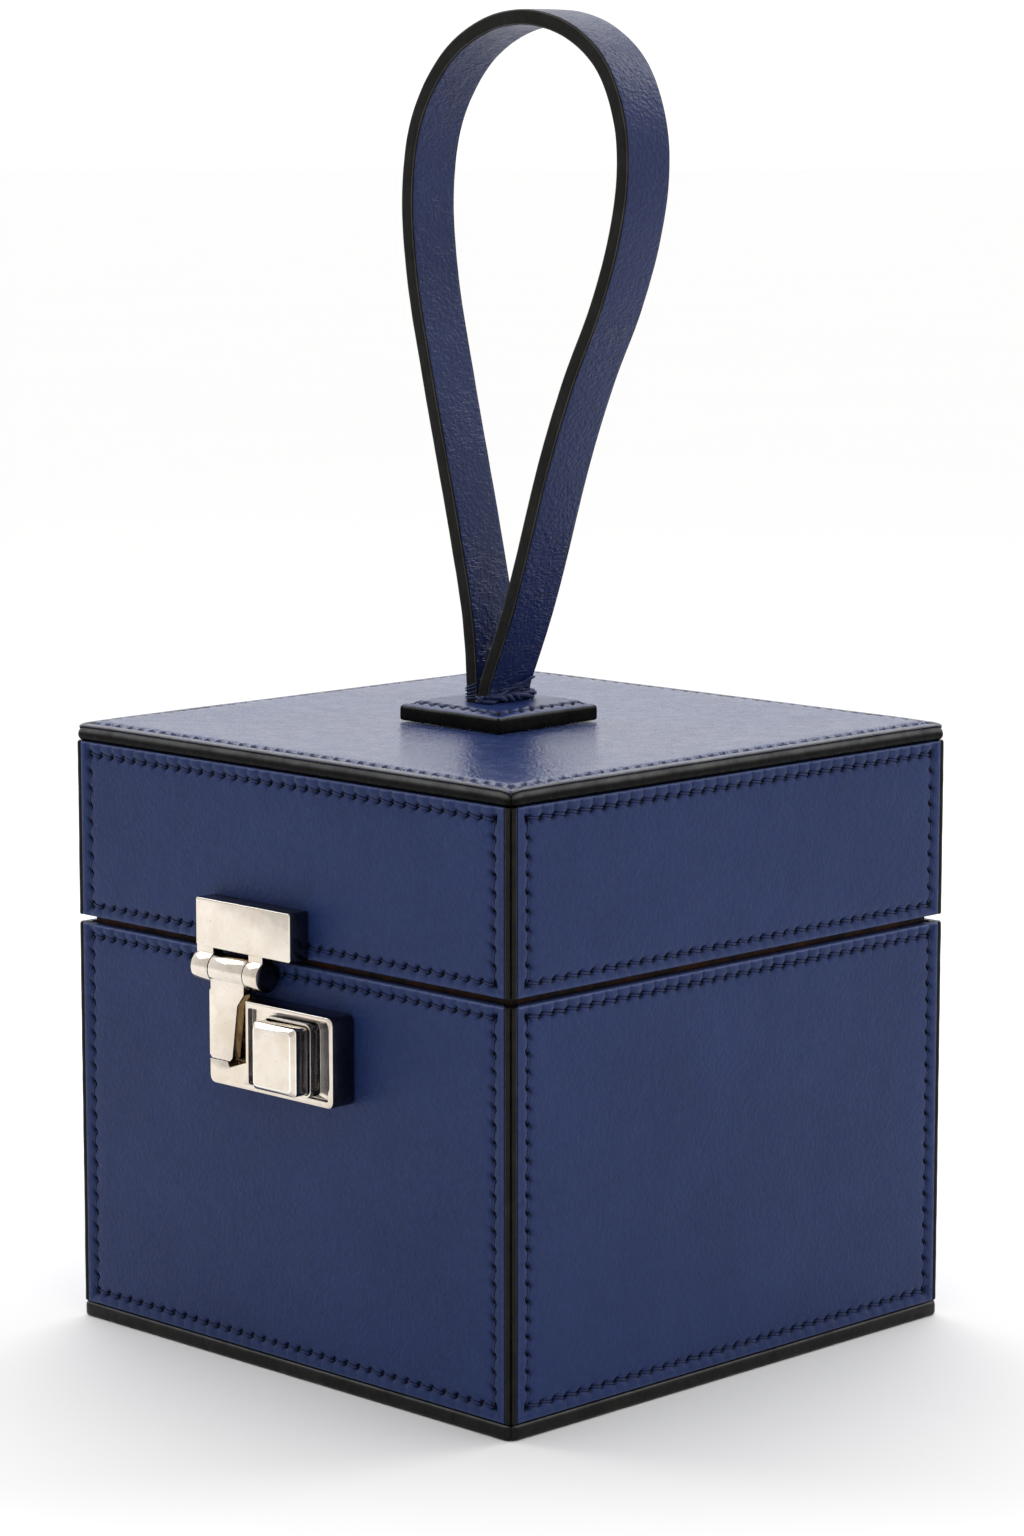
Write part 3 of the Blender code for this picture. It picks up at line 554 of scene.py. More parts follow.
def build_posts():
    corners = (("front_left", -1, -1), ("front_right", 1, -1), ("back_right", 1, 1), ("back_left", -1, 1))
    spans = (("base", BOTTOM_SHEET + SEAM, BASE_TOP, 1.9 * MM),
             ("lid", LID_BOTTOM, SHEET_UNDERSIDE - SEAM, 1.3 * MM))
    for prefix, z_low, z_high, back in spans:
        for index, (corner, sx, sy) in enumerate(corners):
            middle = np.array((sx, sy)) * (HALF - CORNER_INSET / 2)
            outward = np.array((sx, sy)) / math.sqrt(2)
            across = np.array((-outward[1], outward[0]))
            outline = post_outline(back)
            heights = [0.0, 0.06, 0.2, 0.45] + list(np.arange(1.2, (z_high - z_low) / MM - 0.6, 1.1))
            top = (z_high - z_low) / MM
            heights += [top - 0.45, top - 0.2, top - 0.06, top]
            verts = []
            for h in heights:
                edge = min(h, top - h)
                shrink = 0.3 * (1 - math.sqrt(max(0.0, 1 - (1 - min(edge, 0.45) / 0.45) ** 2)))
                for u, v in outline:
                    lump = noise.noise(Vector((u * 900, v * 900 + index * 5.1, h * 0.35))) * 0.05 * MM
                    scale = 1 - shrink if u > -0.5 * MM else 1
                    grow = lump if u > 0 else 0.0
                    p = middle + outward * (u * scale + grow) + across * v * (1 - 0.4 * shrink)
                    verts.append((*p, z_low + h * MM))
            faces = ring_faces(len(heights), len(outline))
            node = prefix + "_edge_" + corner
            # painted shade in the groove between the two beads
            hollow = []
            for h in heights:
                for u, v in outline:
                    hollow.append(0.85 if abs(v) < 0.05 * MM and u > -0.1 * MM else 0.0)
            piece = finish_piece(node + "_beads", verts, faces, [EDGE], prefix, (node,), "edge_black",
                                 hollow=hollow)
            turn_outward(piece)


def turn_outward(piece):
    bm = bmesh.new()
    bm.from_mesh(piece.data)
    bmesh.ops.recalc_face_normals(bm, faces=bm.faces)
    bm.to_mesh(piece.data)
    bm.free()


def bars(name, profile, centre, squeeze, body, nodes, material, seed, lumps=0.04, wear_of=None, swell=0.0):
    """Four bars round the box from a closed profile of inset and height in mm, bent round its corners in
    plan, each end squeezed towards the profile's centre so that a notch is left where two of them meet.
    With a swell in mm, they rise by it away from the corners, drop at them and get painted shade low down;
    the notches where two meet get painted shade too."""
    verts = []
    faces = []
    wear = []
    hollow = []
    radius = 2.2
    side = HALF / MM
    drop_from = side - CORNER_REACH / MM
    turns = [45, 44.2, 42.5, 40, 37, 33, 28, 22, 15, 8, 0]
    steps = [(-side + radius, -a) for a in turns]
    steps += [(x, 0) for x in np.arange(-side + radius + 1.2, side - radius - 0.6, 1.4)]
    steps += [(side - radius, a) for a in reversed(turns)]
    for quarter in range(4):
        place = side_place(quarter)
        base = len(verts)
        for x, turn in steps:
            bend = max(0.0, (abs(turn) - 18) / 27)
            shrink = squeeze * (1 - math.sqrt(max(0.0, 1 - bend ** 2.4)))
            sin = math.sin(math.radians(turn))
            cos = math.cos(math.radians(turn))
            from_corner = (side - radius - abs(x)) / 14
            uneven = 1 + 0.35 * noise.noise(Vector((x * 0.05, quarter, seed)))
            rise = swell * float(smoothstep(from_corner)) * uneven
            if swell:
                reach = abs(x) + radius * abs(sin)
                rise -= CORNER_DROP / MM * float(smoothstep((reach - drop_from) / (side - drop_from)))
            for depth, z in profile:
                spot = Vector((x * 0.3 + turn * 0.02, z * 0.9 + seed * 4.4, quarter * 9.7))
                lump = noise.noise(spot) * lumps if 0.02 < depth < 1.2 else 0
                depth_now = centre[0] + (depth - centre[0]) * (1 - shrink) - lump
                z_now = centre[1] + (z - centre[1]) * (1 - shrink)
                if depth > 1.7:
                    depth_now, z_now = depth, z
                z_now += rise * min(1.0, max(0.0, (z - 124.75) / 2.4))
                reach = radius - max(depth_now, -0.05)
                along = x + sin * reach
                out = -radius + cos * reach
                verts.extend(place(np.array([along * MM]), np.array([z_now * MM]), np.array([out * MM])))
                # painted highlight from the given function; painted shade low down on a swelling bar and in
                # the corner notches
                wear.append(wear_of(depth, z) * (1 - 0.8 * bend) if wear_of else 0.0)
                shade = 0.8 * (1 - float(smoothstep((z - 125.6) / 1.0))) if swell else 0.0
                hollow.append(max(shade, bend ** 3 * min(1.0, squeeze * 3)))
        faces += ring_faces(len(steps), len(profile), base)
    piece = finish_piece(name, verts, faces, [material], body, nodes, "edge_black", hollow=hollow, wear=wear)
    turn_outward(piece)


def build_bands():
    low = [(1.8, 0.0), (0.9, 0.0), (0.35, 0.12), (0.08, 0.4), (0.0, 0.85), (0.0, 1.6), (0.0, 2.3),
           (0.04, 2.62), (0.12, 2.84), (0.28, 3.0), (0.52, 3.1), (0.9, 3.1), (1.8, 3.1)]
    # the lighter line along the band's top arris is a painted highlight
    bars("base_bottom_band_paint", low, (0.9, 1.55), 0.22, "base", ("base_bottom_band",), EDGE, 1, 0.05,
         lambda depth, z: 0.75 * math.exp(-((depth - 0.3) / 0.16) ** 2) if z > 2.7 else 0.0)
    bead = [(1.8, 124.47)]
    for i in range(15):
        turn = -math.pi / 2 + math.pi * i / 14
        bead.append((1.15 - 1.15 * math.cos(turn) * (1 if i < 7 else 0.98), 126.02 + 1.55 * math.sin(turn)))
    bead.append((1.8, 127.57))
    # painted highlight along the bead's upper part
    bars("lid_top_band_bead", bead, (1.6, 124.6), 0.24, "lid", ("lid_top_band",), BEAD, 2, 0.06,
         lambda depth, z: 0.52 * math.exp(-((z - 126.9) / 0.45) ** 2), 0.12)
    lip = [(2.1, 127.6), (0.5, 127.6), (0.36, 127.64), (0.3, 127.74), (0.3, 127.82), (0.38, 127.92),
           (0.52, 127.98), (0.7, 128.0), (2.1, 128.0)]
    # painted highlight along the lip's top
    bars("lid_top_lip", lip, (1.6, 124.6), 0.14, "lid", (), LIP, 3, 0.03,
         lambda depth, z: 0.5 if z > 127.7 else 0.0, 0.12)


def build_top():
    """The lid's top leather, with its row of stitches."""
    edge = HALF - 0.55 * MM
    rect = (-edge, edge, -edge, edge)
    count = int(2 * edge / MESH_STEP)
    rings = [(inset(rect, 0.9 * MM), -1.6 * MM), (inset(rect, 0.0), -0.12 * MM)]
    rings += [(inset(rect, (0.12 + i) * MM), min(d, 0.04) * MM) for i, d in FINE_RINGS[3:]]
    rings += [(inset(rect, i * MM), 0.0) for i in (10, 13, 17, 22, 28, 36)]
    flat, faces, _ = sheet_mesh(rings, (count, count))
    u, v, d = flat.T
    rows = sewn_rows(inset(rect, 2.7 * MM), STITCH_PITCH)
    rise, hollow = sew(u, v, rows, 21, 1.0, (0.20, 0.20, 0.20, 0.20))
    from_edge = edge - np.maximum(np.abs(u), np.abs(v))
    ease = smoothstep(from_edge / (0.7 * MM))
    along = smoothstep((edge - np.minimum(np.abs(u), np.abs(v)) - 1.6 * MM) / (14 * MM))
    rim = 0.12 * MM * along * (1 - smoothstep((from_edge - 1.0 * MM) / (1.9 * MM)))
    d = d + (rise + wobble(np.column_stack((u, v, v * 0)), 150.0, 5) * 0.06 * MM) * ease
    inside = from_edge - 2.8 * MM
    ridge = 0.5 * MM * smoothstep(inside / (0.8 * MM)) * np.exp(-(inside / (18 * MM)) ** 2)
    d = d + np.where(d > -1 * MM, rim + ridge, 0)
    # painted highlight along the top's outer edge
    wear = np.where(d > -1 * MM, 0.35 * np.exp(-(from_edge / (0.5 * MM)) ** 2), 0)
    radius = 1.75 * MM
    cu = np.maximum(np.abs(u) - (edge - radius), 0) / radius
    cv = np.maximum(np.abs(v) - (edge - radius), 0) / radius
    u, v = (u - np.sign(u) * radius * cu * (1 - np.sqrt(1 - cv ** 2 / 2)),
            v - np.sign(v) * radius * cv * (1 - np.sqrt(1 - cu ** 2 / 2)))

    def place(u, v, d):
        near_corner = smoothstep((np.minimum(np.abs(u), np.abs(v)) - HALF + CORNER_REACH) / CORNER_REACH)
        return np.column_stack((u, v, BOX_HEIGHT + d - CORNER_DROP * near_corner))

    finish_piece("lid_top_leather", place(u, v, d), faces, [LIT_TOP_LEATHER], "lid", ("lid_top",), hollow=hollow,
                 wear=wear)
    stitches("lid_top_stitches", rows, lambda u, v, d: place(u, v, d - 0.3 * MM), "lid", 21, 0.85)


def build_bottom():
    """The underside's leather sheet."""
    edge = HALF - 2.1 * MM
    rect = (-edge, edge, -edge, edge)
    rings = [(inset(rect, 0.0), -3.1 * MM), (rect, -0.5 * MM), (inset(rect, 0.15 * MM), -0.15 * MM)]
    rings += [(inset(rect, i * MM), 0.0) for i in (0.5, 2, 5, 12, 25)]
    flat, faces, _ = sheet_mesh(rings, (60, 60))
    u, v, d = flat.T
    verts = np.column_stack((u, -v, -np.minimum(d, 0.0)))
    finish_piece("base_bottom_leather", verts, faces, [LEATHER], "base", ("base_bottom",))


def build_lining(name, node, body, edge, z_closed, z_open):
    """A lining tray whose walls and lip are a little soft, with dark brown painted shade on the outside low
    down, where the gap between lid and base shows it.
    """
    step = 2.0 * MM if z_open > z_closed else -2.0 * MM
    sign = 1 if step > 0 else -1
    wall_t = 2.0 * MM
    levels = [z_closed + (z_open - z_closed) * i / 24 for i in range(25)]
    sections = [(0.0, z) for z in levels[:-1]]
    sections += [(0.0, z_open - sign * 0.5 * MM), (0.15 * MM, z_open - sign * 0.15 * MM), (0.5 * MM, z_open)]
    sections += [(wall_t - 0.5 * MM, z_open), (wall_t - 0.15 * MM, z_open - sign * 0.15 * MM)]
    inner = [z for z in levels if abs(z - z_closed) > 3.2 * MM and abs(z - z_open) > 0.6 * MM]
    sections += [(wall_t, z_open - sign * 0.6 * MM)] + [(wall_t, z) for z in reversed(inner)]
    sections += [(wall_t + 0.2 * MM, z_closed + step * 1.25), (wall_t + 0.8 * MM, z_closed + step)]
    per_side = 40
    verts = []
    for inset_by, z in sections:
        half = edge - inset_by
        radius = 1.0 * MM if inset_by < 1 * MM else 1.6 * MM
        ring = rectangle_ring((-half, half, -half, half), (per_side, per_side))
        for x, y in ring:
            cx = max(0.0, abs(x) - (half - radius))
            cy = max(0.0, abs(y) - (half - radius))
            reach = math.hypot(cx, cy)
            if cx > 0 and cy > 0 and reach > radius:
                x = math.copysign(half - radius + cx * radius / reach, x)
                y = math.copysign(half - radius + cy * radius / reach, y)
            soft = noise.noise(Vector((x * 55, y * 55, z * 80))) * 0.12 * MM if inset_by > 1 * MM else 0.0
            scale = 1 - soft / half
            verts.append((x * scale, y * scale, z))
    around = 4 * per_side
    faces = ring_faces(len(sections), around)
    indices = []
    # painted shade: the outside up to 90 mm gets the dark gap shade material
    for near, far in zip(sections, sections[1:]):
        painted = max(near[0], far[0]) < 0.1 * MM and far[1] < 90 * MM
        indices += [1 if painted else 0] * around
    indices += [1, 0]
    piece = finish_piece(name, verts, faces, [LINING, GAP_SHADE], body, (node,), "lining_tan", indices, 50)
    turn_outward(piece)


LOOP_SHAPE = (
    (-0.050, 0.150), (-0.108, 0.264), (-0.241, 0.490), (-0.318, 0.637), (-0.339, 0.760), (-0.290, 0.863),
    (-0.146, 0.947), (0.039, 0.990), (0.234, 1.000), (0.425, 0.979), (0.570, 0.932), (0.652, 0.856),
    (0.665, 0.781), (0.625, 0.692), (0.544, 0.599), (0.428, 0.501), (0.318, 0.388), (0.182, 0.214),
    (0.121, 0.144), (0.058, 0.082),
)


def curve_through(points, step):
    """Points at equal steps along a centripetal Catmull-Rom curve through the given ones."""
    points = [2 * points[0] - points[1], *points, 2 * points[-1] - points[-2]]
    dense = []
    for p0, p1, p2, p3 in zip(points, points[1:], points[2:], points[3:]):
        t1 = math.sqrt((p1 - p0).length)
        t2 = t1 + math.sqrt((p2 - p1).length)
        t3 = t2 + math.sqrt((p3 - p2).length)
        for i in range(24):
            t = t1 + (t2 - t1) * i / 24
            a1 = p0.lerp(p1, t / t1)
            a2 = p1.lerp(p2, (t - t1) / (t2 - t1))
            a3 = p2.lerp(p3, (t - t2) / (t3 - t2))
            b1 = a1.lerp(a2, t / t2)
            b2 = a2.lerp(a3, (t - t1) / (t3 - t1))
            dense.append(b1.lerp(b2, (t - t1) / (t2 - t1)))
    dense.append(points[-2])
    along = [0.0]
    for near, far in zip(dense, dense[1:]):
        along.append(along[-1] + (far - near).length)
    count = round(along[-1] / step)
    result = []
    k = 0
    for i in range(count + 1):
        target = along[-1] * i / count
        while k < len(along) - 2 and along[k + 1] < target:
            k += 1
        result.append(dense[k].lerp(dense[k + 1], (target - along[k]) / (along[k + 1] - along[k])))
    return result


def strap_route():
    offset = 1.85 * MM
    foot = SEAM
    route = [Vector((-offset, 0, foot)), Vector((-offset, 0, SEAM + 7.3 * MM))]
    route += [Vector((across * 61.7 * MM, 0, rise * 146 * MM)) for across, rise in LOOP_SHAPE]
    route += [Vector((offset, 0, SEAM + 7.4 * MM)), Vector((offset, 0, foot))]
    return curve_through(route, 0.7 * MM)


def build_strap():
    """The strap: navy faces with creases across, black painted edges."""
    line = strap_route()
    for _ in range(3):
        line = [line[0]] + [(a + 2 * b + c) / 4 for a, b, c in zip(line, line[1:], line[2:])] + [line[-1]]
    last = len(line) - 1
    half_w = 6.3 * MM
    half_t = 1.7 * MM
    across = 18
    profile = []
    for i in range(across + 1):
        y = (5.85 - 11.7 * i / across) * MM
        profile.append((y, half_t - 0.10 * MM * (y / half_w) ** 2, 0))
    edge = [(-6.08, 1.54), (-6.21, 1.42), (-6.27, 1.2), (-6.30, 0.8), (-6.29, 0.3), (-6.29, -0.3),
            (-6.30, -0.8), (-6.27, -1.2), (-6.21, -1.42), (-6.08, -1.54)]
    profile += [(y * MM, t * MM, 1) for y, t in edge]
    for i in range(across + 1):
        y = (-5.85 + 11.7 * i / across) * MM
        profile.append((y, -half_t + 0.10 * MM * (y / half_w) ** 2, 2))
    profile += [(-y * MM, -t * MM, 3) for y, t in edge]
    origin = Vector((HANDLE_X, 0, BOX_HEIGHT))
    length = 0.7 * MM * last
    verts = []
    hollow = []
    creased = []
    wear = []
    for i, point in enumerate(line):
        tangent = (line[min(i + 1, last)] - line[max(i - 1, 0)]).normalized()
        if i in (0, last):
            tangent = Vector((0, 0, 1 if i == 0 else -1))
        normal = tangent.cross(Vector((0, 1, 0)))
        s = i * 0.7 * MM
        share = s / length
        foot = min(s, length - s)
        ease = min(1.0, foot / (6 * MM))
        for y, t, part in profile:
            lift = 0.0
            dark = 0.0
            if part in (0, 2):
                side = 1 if part == 0 else -1
                wave = noise.noise(Vector((s * 130, y * 26, side * 3.3))) * 0.10
                ridge = 1 - abs(noise.noise(Vector((s * 310 + y * 60, y * 75, side * 7.7)))) * 4.5
                crease = max(0.0, ridge) ** 2
                patchy = max(0.0, noise.noise(Vector((s * 38, 2.0, side * 5.0))) * 2.0)
                calm = min(1.0, 0.15 + 0.6 * patchy + 0.8 * math.exp(-(foot / (30 * MM)) ** 2))
                if side < 0:
                    calm = min(1.0, calm + 0.5 * math.exp(-((share - 0.45) / 0.14) ** 2))
                lift = (wave - 0.09 * crease * calm) * ease * MM * side
                # painted shade in the creases
                dark = 0.10 * crease * calm * ease
                strength = calm
            else:
                y = y + math.copysign(0.05 * MM, y) * noise.noise(Vector((s * 240, t * 700, part * 2.0)))
                strength = 0.0
            p = origin + point + normal * (t + lift) + Vector((0, max(-half_w, min(half_w, y)), 0))
            verts.append(p)
            hollow.append(dark)
            creased.append(strength)
            # painted highlight along both borders of the painted edges
            wear.append(0.30 if 1.2 * MM < abs(t) < 1.45 * MM and part in (1, 3) else 0.0)
    faces = ring_faces(last + 1, len(profile))
    parts = [part for _, _, part in profile]
    around = [0 if a == b and a in (0, 2) else 1 for a, b in zip(parts, parts[1:] + parts[:1])]
    indices = around * last + [1, 1]
    piece = finish_piece("handle_strap_leather", verts, faces, [STRAP_LEATHER, STRAP_EDGE], "lid",
                         ("handle_strap",), indices=indices, sharp=48, hollow=hollow, crease=creased,
                         wear=wear)
    turn_outward(piece)


def tube(verts, faces, path, radius):
    """A round thread along a path, tapered at both ends, added to the lists."""
    sides = 7
    base = len(verts)
    last = len(path) - 1
    for i, point in enumerate(path):
        tangent = (path[min(i + 1, last)] - path[max(i - 1, 0)]).normalized()
        side = tangent.cross(Vector((1, 0, 0)))
        side = side.normalized() if side.length > 0.01 else Vector((0, 1, 0))
        up = tangent.cross(side)
        size = radius * (0.35 + 0.65 * math.sin(math.pi * (0.06 + 0.88 * i / last)) ** 0.5)
        for k in range(sides):
            turn = 2 * math.pi * k / sides
            ply = 1 + 0.12 * math.cos(2 * turn + 1.1 * i)
            verts.append(point + (side * math.cos(turn) + up * math.sin(turn)) * size * ply)
    faces += ring_faces(len(path), sides, base)


def build_binding():
    """The thread that binds the strap's foot: slanting strands over a twisted rope, and wraps beside it."""
    random = np.random.RandomState(7)
    verts = []
    faces = []
    top = PATCH_TOP + 1.5 * MM - BOX_HEIGHT

    def on_face(y, height, out):
        """A point on the right leg's outer face, so far above the patch and out from the leather."""
        x = 3.58 * MM + 0.42 * max(0.0, top + height - 7.6 * MM) + out
        wrap = abs(y) - 6.3 * MM
        if wrap > 0:
            x -= wrap * 1.6 + out
            y = math.copysign(6.3 * MM + min(wrap, 0.25 * MM) + out, y)
        return Vector((HANDLE_X + x, y, BOX_HEIGHT + top + height))

    for k in range(9):
        low = (1.4 + 0.30 * k + random.uniform(-0.2, 0.2)) * MM
        rise = (1.0 + random.uniform(-0.3, 0.5)) * MM
        y0 = (-7.0 + 1.1 * k + random.uniform(-0.6, 0.6)) * MM
        y1 = min(y0 + random.uniform(5.0, 7.5) * MM, 6.3 * MM)
        bulge = random.uniform(0.1, 0.45) * MM
        path = []
        for i in range(15):
            t = i / 14
            wave = math.sin(t * 6 + k * 2.1) * 0.2 * MM
            height = low + rise * t ** 1.3 + wave
            path.append(on_face(y0 + (y1 - y0) * t, height, (0.05 * MM + bulge * math.sin(math.pi * t))))
        tube(verts, faces, path, (0.30 + 0.06 * random.uniform(-1, 1)) * MM)
    for k in range(3):
        path = []
        for i in range(41):
            t = i / 40
            turn = 2 * math.pi * (t * 2.3 + k / 3) + 0.8 * math.sin(t * 11 + k)
            height = (0.85 + 0.35 * t + (0.50 + 0.12 * math.sin(t * 17)) * math.cos(turn)) * MM
            path.append(on_face((-8.2 + 16.6 * t) * MM, height, (0.55 + 0.5 * math.sin(turn)) * MM))
        tube(verts, faces, path, (0.50 + 0.05 * k) * MM)
    for k in range(5):
        start = (0.5 + 0.55 * k + random.uniform(-0.15, 0.15)) * MM
        path = []
        for i in range(11):
            t = i / 10
            x = HANDLE_X - 3.55 * MM + 3.3 * t * MM
            bow = 0.10 * MM * math.sin(math.pi * t)
            path.append(Vector((x, -6.25 * MM - bow, BOX_HEIGHT + top + start + (0.5 + 0.2 * k) * t * MM)))
        tube(verts, faces, path, 0.24 * MM)
    piece = finish_piece("handle_strap_binding", verts, faces, [THREAD], "lid")
    turn_outward(piece)


def build_patch():
    """The sewn square patch with its slot."""
    half = 14.65 * MM
    rect = (-half, half, -half, half)

    def padding(u, v):
        share = np.maximum(np.abs(u), np.abs(v)) / half
        return (0.5 + 1.0 * (1 - smoothstep((share - 0.80) / 0.20))) * MM

    slot = (-3.85 * MM, 3.85 * MM, -6.6 * MM, 6.6 * MM)
    rings = [(inset(rect, 0.35 * MM), -2.8 * MM), (inset(rect, 0.06 * MM), -2.55 * MM), (rect, -2.2 * MM)]
    rings += [(rect, -1.7 * MM), (rect, -1.2 * MM), (inset(rect, 0.02 * MM), -0.7 * MM)]
    rings += [(inset(rect, 0.1 * MM), -0.4 * MM), (inset(rect, 0.28 * MM), -0.14 * MM)]
    black_to = len(rings)
    rings += [(inset(rect, i * MM), d * MM) for i, d in (
        (0.5, -0.02), (0.8, 0.02), (1.1, 0.03), (1.35, 0.02),
        *((i, 0.0) for i in (1.55, 1.75, 1.95, 2.15, 2.35, 2.55, 2.75, 3.0, 3.4, 4.0)))]
    inner = rings[-1][0]
    for share in (0.3, 0.6, 0.85, 1.0):
        blend = tuple(a + (b - a) * share for a, b in zip(inner, slot))
        rings.append((blend, -0.05 * MM if share == 1.0 else 0.02 * MM))
    navy_to = len(rings) - 1
    rings.append((inset(slot, 0.05 * MM), -0.3 * MM))
    rings.append((inset(slot, 0.05 * MM), -2.8 * MM))
    count = int(2 * half / (0.3 * MM))
    flat, faces, bands = sheet_mesh(rings, (count, count), fill=False)
    u, v, d = flat.T
    rows = sewn_rows(inset(rect, 2.15 * MM), 3.2 * MM)
    rise, hollow = sew(u, v, rows, 41, 0.55, (0.14, 0.14, 0.14, 0.14))
    from_edge = half - np.maximum(np.abs(u), np.abs(v))
    # painted highlight along the edge's top bevel
    wear = np.where(d > -0.5 * MM, np.exp(-((from_edge - 0.2 * MM) / (0.16 * MM)) ** 2) * 0.55, 0)
    on_top = (d > -0.06 * MM)
    soft = wobble(np.column_stack((u, v, v * 0)), 220.0, 9) * 0.09 * MM
    d = d + np.where(on_top, rise + soft, 0) + padding(u, v) * smoothstep((d + 2.6 * MM) / (2.3 * MM))
    # painted shade: a dark line down each corner of the patch's edge
    corner_line = np.where((~on_top) & (np.minimum(np.abs(u), np.abs(v)) > half - 0.45 * MM), 0.95, 0)
    hollow = np.where(on_top, hollow, corner_line)
    indices = [1 if b < black_to - 1 or b >= navy_to else 0 for b in bands]

    def place(u, v, d):
        return np.column_stack((u + HANDLE_X, v, PATCH_TOP + d))

    def raised(u, v, d):
        return place(u, v, d + padding(u, v))

    finish_piece("handle_patch_leather", place(u, v, d), faces, [PATCH_LEATHER, BEAD], "lid",
                 ("handle_patch",), indices=indices, sharp=50, hollow=hollow, wear=wear)
    stitches("handle_patch_stitches", rows, raised, "lid", 41, 0.8)


def softened_copy(node, name, body, width, kind_of=None):
    """A copy of a node's solid with its edges rounded and given a painted highlight where they face forward,
    which stands for it. The kind says which material a face has, by its middle and direction: 0 polished, 1
    painted arris highlight, 2 side with painted shade, 3 worn channel with painted shade."""
    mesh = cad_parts[node].data.copy()
    mesh.name = name
    bm = bmesh.new()
    bm.from_mesh(mesh)
    bmesh.ops.remove_doubles(bm, verts=bm.verts, dist=0.00001)
    bmesh.ops.dissolve_limit(bm, angle_limit=math.radians(1.0), verts=bm.verts, edges=bm.edges)
    edges = [e for e in bm.edges if len(e.link_faces) == 2 and e.calc_face_angle(0) > math.radians(32)]
    for face in bm.faces:
        face.material_index = 0
    made = bmesh.ops.bevel(bm, geom=edges, offset=width, segments=2, profile=0.5, affect="EDGES",
                           clamp_overlap=True, offset_type="OFFSET")
    bmesh.ops.recalc_face_normals(bm, faces=bm.faces)
    rounded = set(made["faces"])
    for face in bm.faces:
        # forward-facing rounded edges get the painted highlight nickel
        if face in rounded and face.normal.y < -0.3:
            face.material_index = 1
        elif face not in rounded and kind_of:
            face.material_index = kind_of(face.calc_center_median(), face.normal)
    mesh.materials.clear()
    for material in (NICKEL, NICKEL_HIGHLIGHT, NICKEL_SHADE, NICKEL_WORN_SHADED):
        mesh.materials.append(material)
    bm.to_mesh(mesh)
    bm.free()
    mesh.shade_smooth()
    mesh.set_sharp_from_angle(angle=math.radians(38))
    piece = scene_object(name, mesh)
    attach(piece, body)
    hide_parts(node)


# faces of kind 2 get the dark nickel, a painted shade
def block_kind(middle, normal):
    if middle.z > 92 * MM and abs(normal.y) < 0.5:
        return 2
    return 2 if abs(normal.x) > 0.7 else 0


def plate_kind(middle, normal):
    in_channel = -15 * MM < middle.x < -3.9 * MM and -HALF - middle.y < 5.9 * MM and middle.z > 62 * MM
    if in_channel and abs(normal.z) < 0.9:
        return 3
    if abs(normal.y) < 0.5 and (normal.x > 0.5 or normal.z > 0.5):
        return 2
    return 0


def button_kind(middle, normal):
    return 2 if normal.x > 0.8 else 0


def build_barrel_cap():
    """The clasp barrel's plain right end, in dark nickel with painted shade."""
    verts = []
    radii = ((2.2, -0.6), (3.16, -0.6), (3.16, -0.42), (3.0, -0.3), (1.5, -0.28))
    axis_y, axis_z = -HALF - 3.6 * MM, 83.2 * MM
    sides = 40
    for radius, x in radii:
        for k in range(sides):
            y = radius * MM * math.cos(2 * math.pi * k / sides)
            z = radius * MM * math.sin(2 * math.pi * k / sides)
            verts.append((x * MM, axis_y + y, axis_z + z))
    faces = ring_faces(len(radii), sides)
    piece = finish_piece("clasp_barrel_cap", verts, faces, [NICKEL_SHADE], "lid", (), "nickel", sharp=40)
    turn_outward(piece)


def build_metal():
    softened_copy("clasp_block", "clasp_block_metal", "lid", 0.16 * MM, kind_of=block_kind)
    build_barrel_cap()
    softened_copy("hasp", "hasp_metal", "hasp", 0.12 * MM)
    softened_copy("lock_plate", "lock_plate_metal", "base", 0.14 * MM, kind_of=plate_kind)
    softened_copy("lock_button", "lock_button_metal", "lock_button", 0.16 * MM, kind_of=button_kind)
    softened_copy("hinge_base_leaf", "hinge_base_leaf_metal", "base", 0.1 * MM)
    softened_copy("hinge_lid_leaf", "hinge_lid_leaf_metal", "lid", 0.1 * MM)
    softened_copy("clasp_pin", "clasp_pin_metal", "lid", 0.1 * MM)
    softened_copy("hinge_pin", "hinge_pin_metal", "base", 0.1 * MM)


def stage_floor():
    size = 40.0
    steps = 12
    verts = []
    for j in range(steps + 1):
        for i in range(steps + 1):
            verts.append((size * (i / steps - 0.5), size * (j / steps - 0.5), 0.0))
    faces = []
    for j in range(steps):
        for i in range(steps):
            a = j * (steps + 1) + i
            faces.append((a, a + 1, a + steps + 2, a + steps + 1))
    mesh = bpy.data.meshes.new("studio_floor")
    mesh.from_pydata(verts, [], faces)
    material, tree, shader, place = start_material("studio_paper", 0.1)
    tone = mix_colors(tree, noise_at(tree, place, 3.0, 2.0), (0.885, 0.882, 0.88), (0.895, 0.892, 0.89))
    tree.links.new(tone, shader.inputs["Base Color"])
    shader.inputs["Roughness"].default_value = 0.9
    mesh.materials.append(material)
    scene_object("studio_floor", mesh)


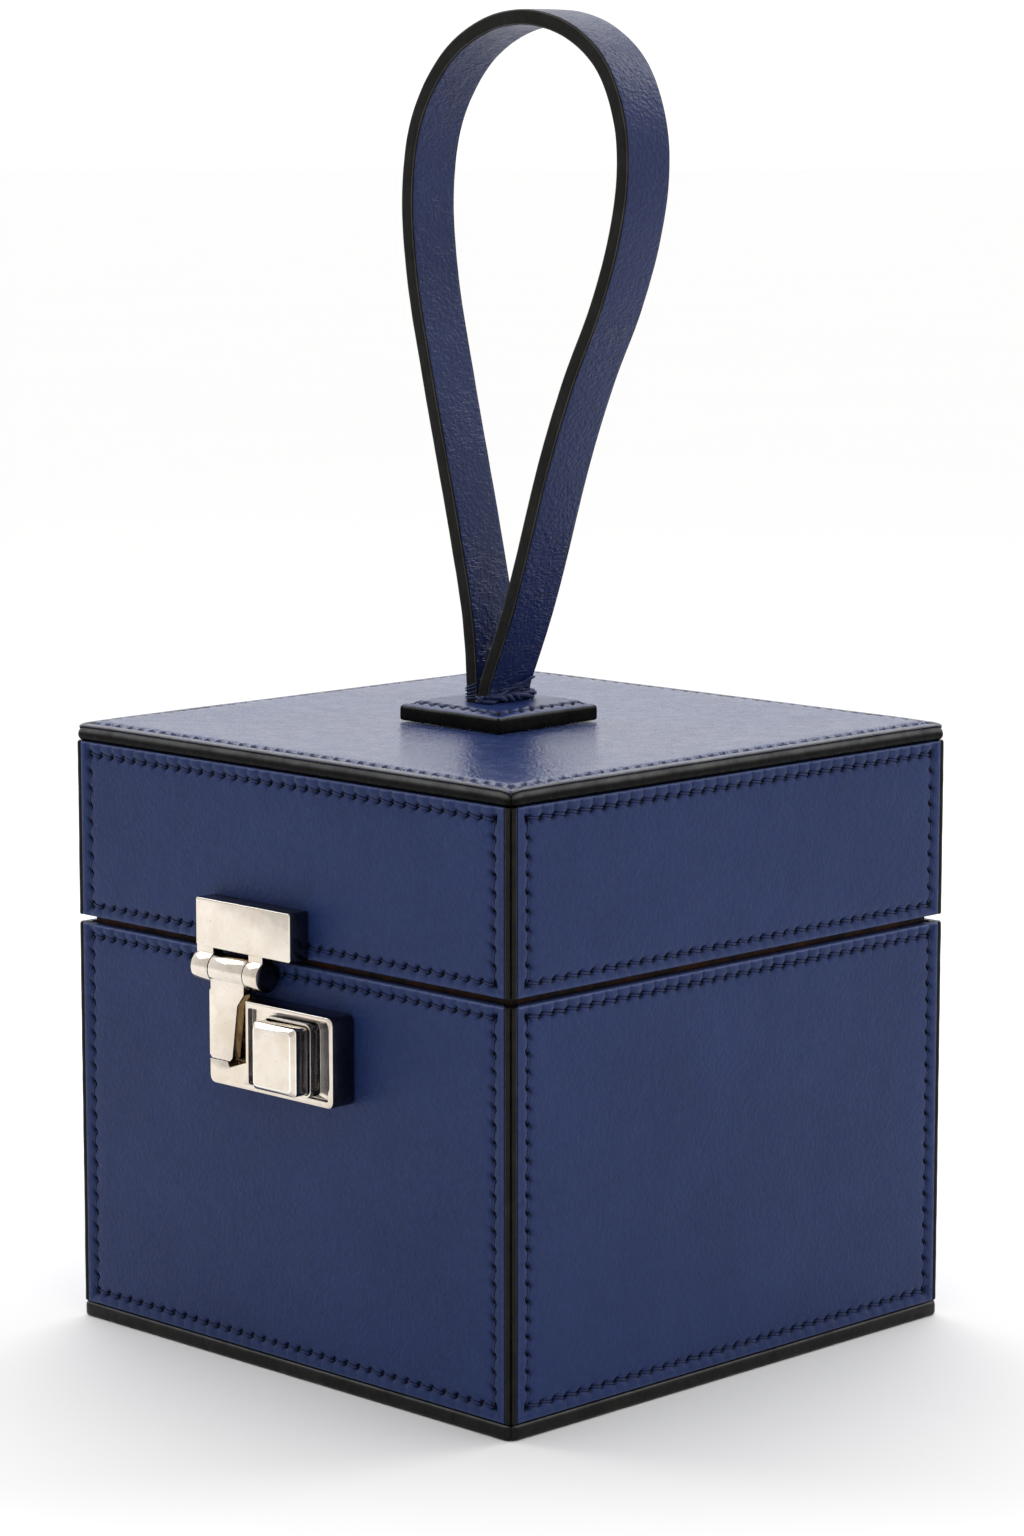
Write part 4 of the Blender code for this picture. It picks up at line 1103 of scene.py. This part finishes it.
def area_light(name, location, target, size, power):
    light = bpy.data.lights.new(name, "AREA")
    light.shape = "RECTANGLE"
    light.size, light.size_y = size
    light.energy = power
    lamp = scene_object(name, light)
    lamp.location = location
    aim = Vector(target) - Vector(location)
    lamp.rotation_euler = aim.to_track_quat("-Z", "Y").to_euler()


def build_studio():
    scene = bpy.context.scene
    scene.view_settings.view_transform = "Standard"
    scene.view_settings.look = "None"
    world = bpy.data.worlds.new("studio")
    scene.world = world
    world.use_nodes = True
    background = world.node_tree.nodes["Background"]
    tree = world.node_tree
    place = add(tree, "ShaderNodeTexCoord").outputs["Generated"]
    way = add(tree, "ShaderNodeSeparateXYZ", {0: place}).outputs
    strength = math_node(tree, "MULTIPLY", ramp(tree, way["Z"], 0.02, 0.75, 1.07, 0.88),
                         ramp(tree, way["Y"], -1.0, 0.0, 0.68, 1.0))
    tree.links.new(strength, background.inputs["Strength"])
    background.inputs["Color"].default_value = (1.0, 1.0, 1.0, 1.0)
    area_light("softbox_left", (-0.66, -0.21, 0.72), (0, -0.03, 0.09), (0.45, 0.45), 2.2)
    area_light("softbox_right", (0.21, 0.66, 0.76), (0.03, 0, 0.09), (0.45, 0.45), 2.2)
    sun = bpy.data.lights.new("softbox_back", "SUN")
    sun.energy = 1.0
    sun.angle = math.radians(50)
    lamp = scene_object("softbox_back", sun)
    lamp.rotation_euler = Vector((0.6, -0.6, -1.05)).to_track_quat("-Z", "Y").to_euler()

    camera = bpy.data.cameras.new("camera")
    camera.sensor_fit = "VERTICAL"
    camera.sensor_height = 36.0
    camera.lens = 102.14
    camera.clip_start = 0.05
    camera.clip_end = 20.0
    eye = scene_object("camera", camera)
    eye.location = (0.6411, -0.6416, 0.2553)
    eye.rotation_euler = (math.radians(90 - 8.58), 0.0, math.radians(44.96))
    scene.camera = eye


build_studio()
stage_floor()
build_walls()
build_posts()
build_bands()
build_top()
build_bottom()
build_lining("base_lining_leather", "base_lining", "base", HALF - 2.8 * MM, BOTTOM_SHEET + SEAM, 93.2 * MM)
build_lining("lid_lining_leather", "lid_lining", "lid", HALF - 2.5 * MM, SHEET_UNDERSIDE - SEAM, 93.5 * MM)
build_patch()
build_strap()
build_binding()
build_metal()
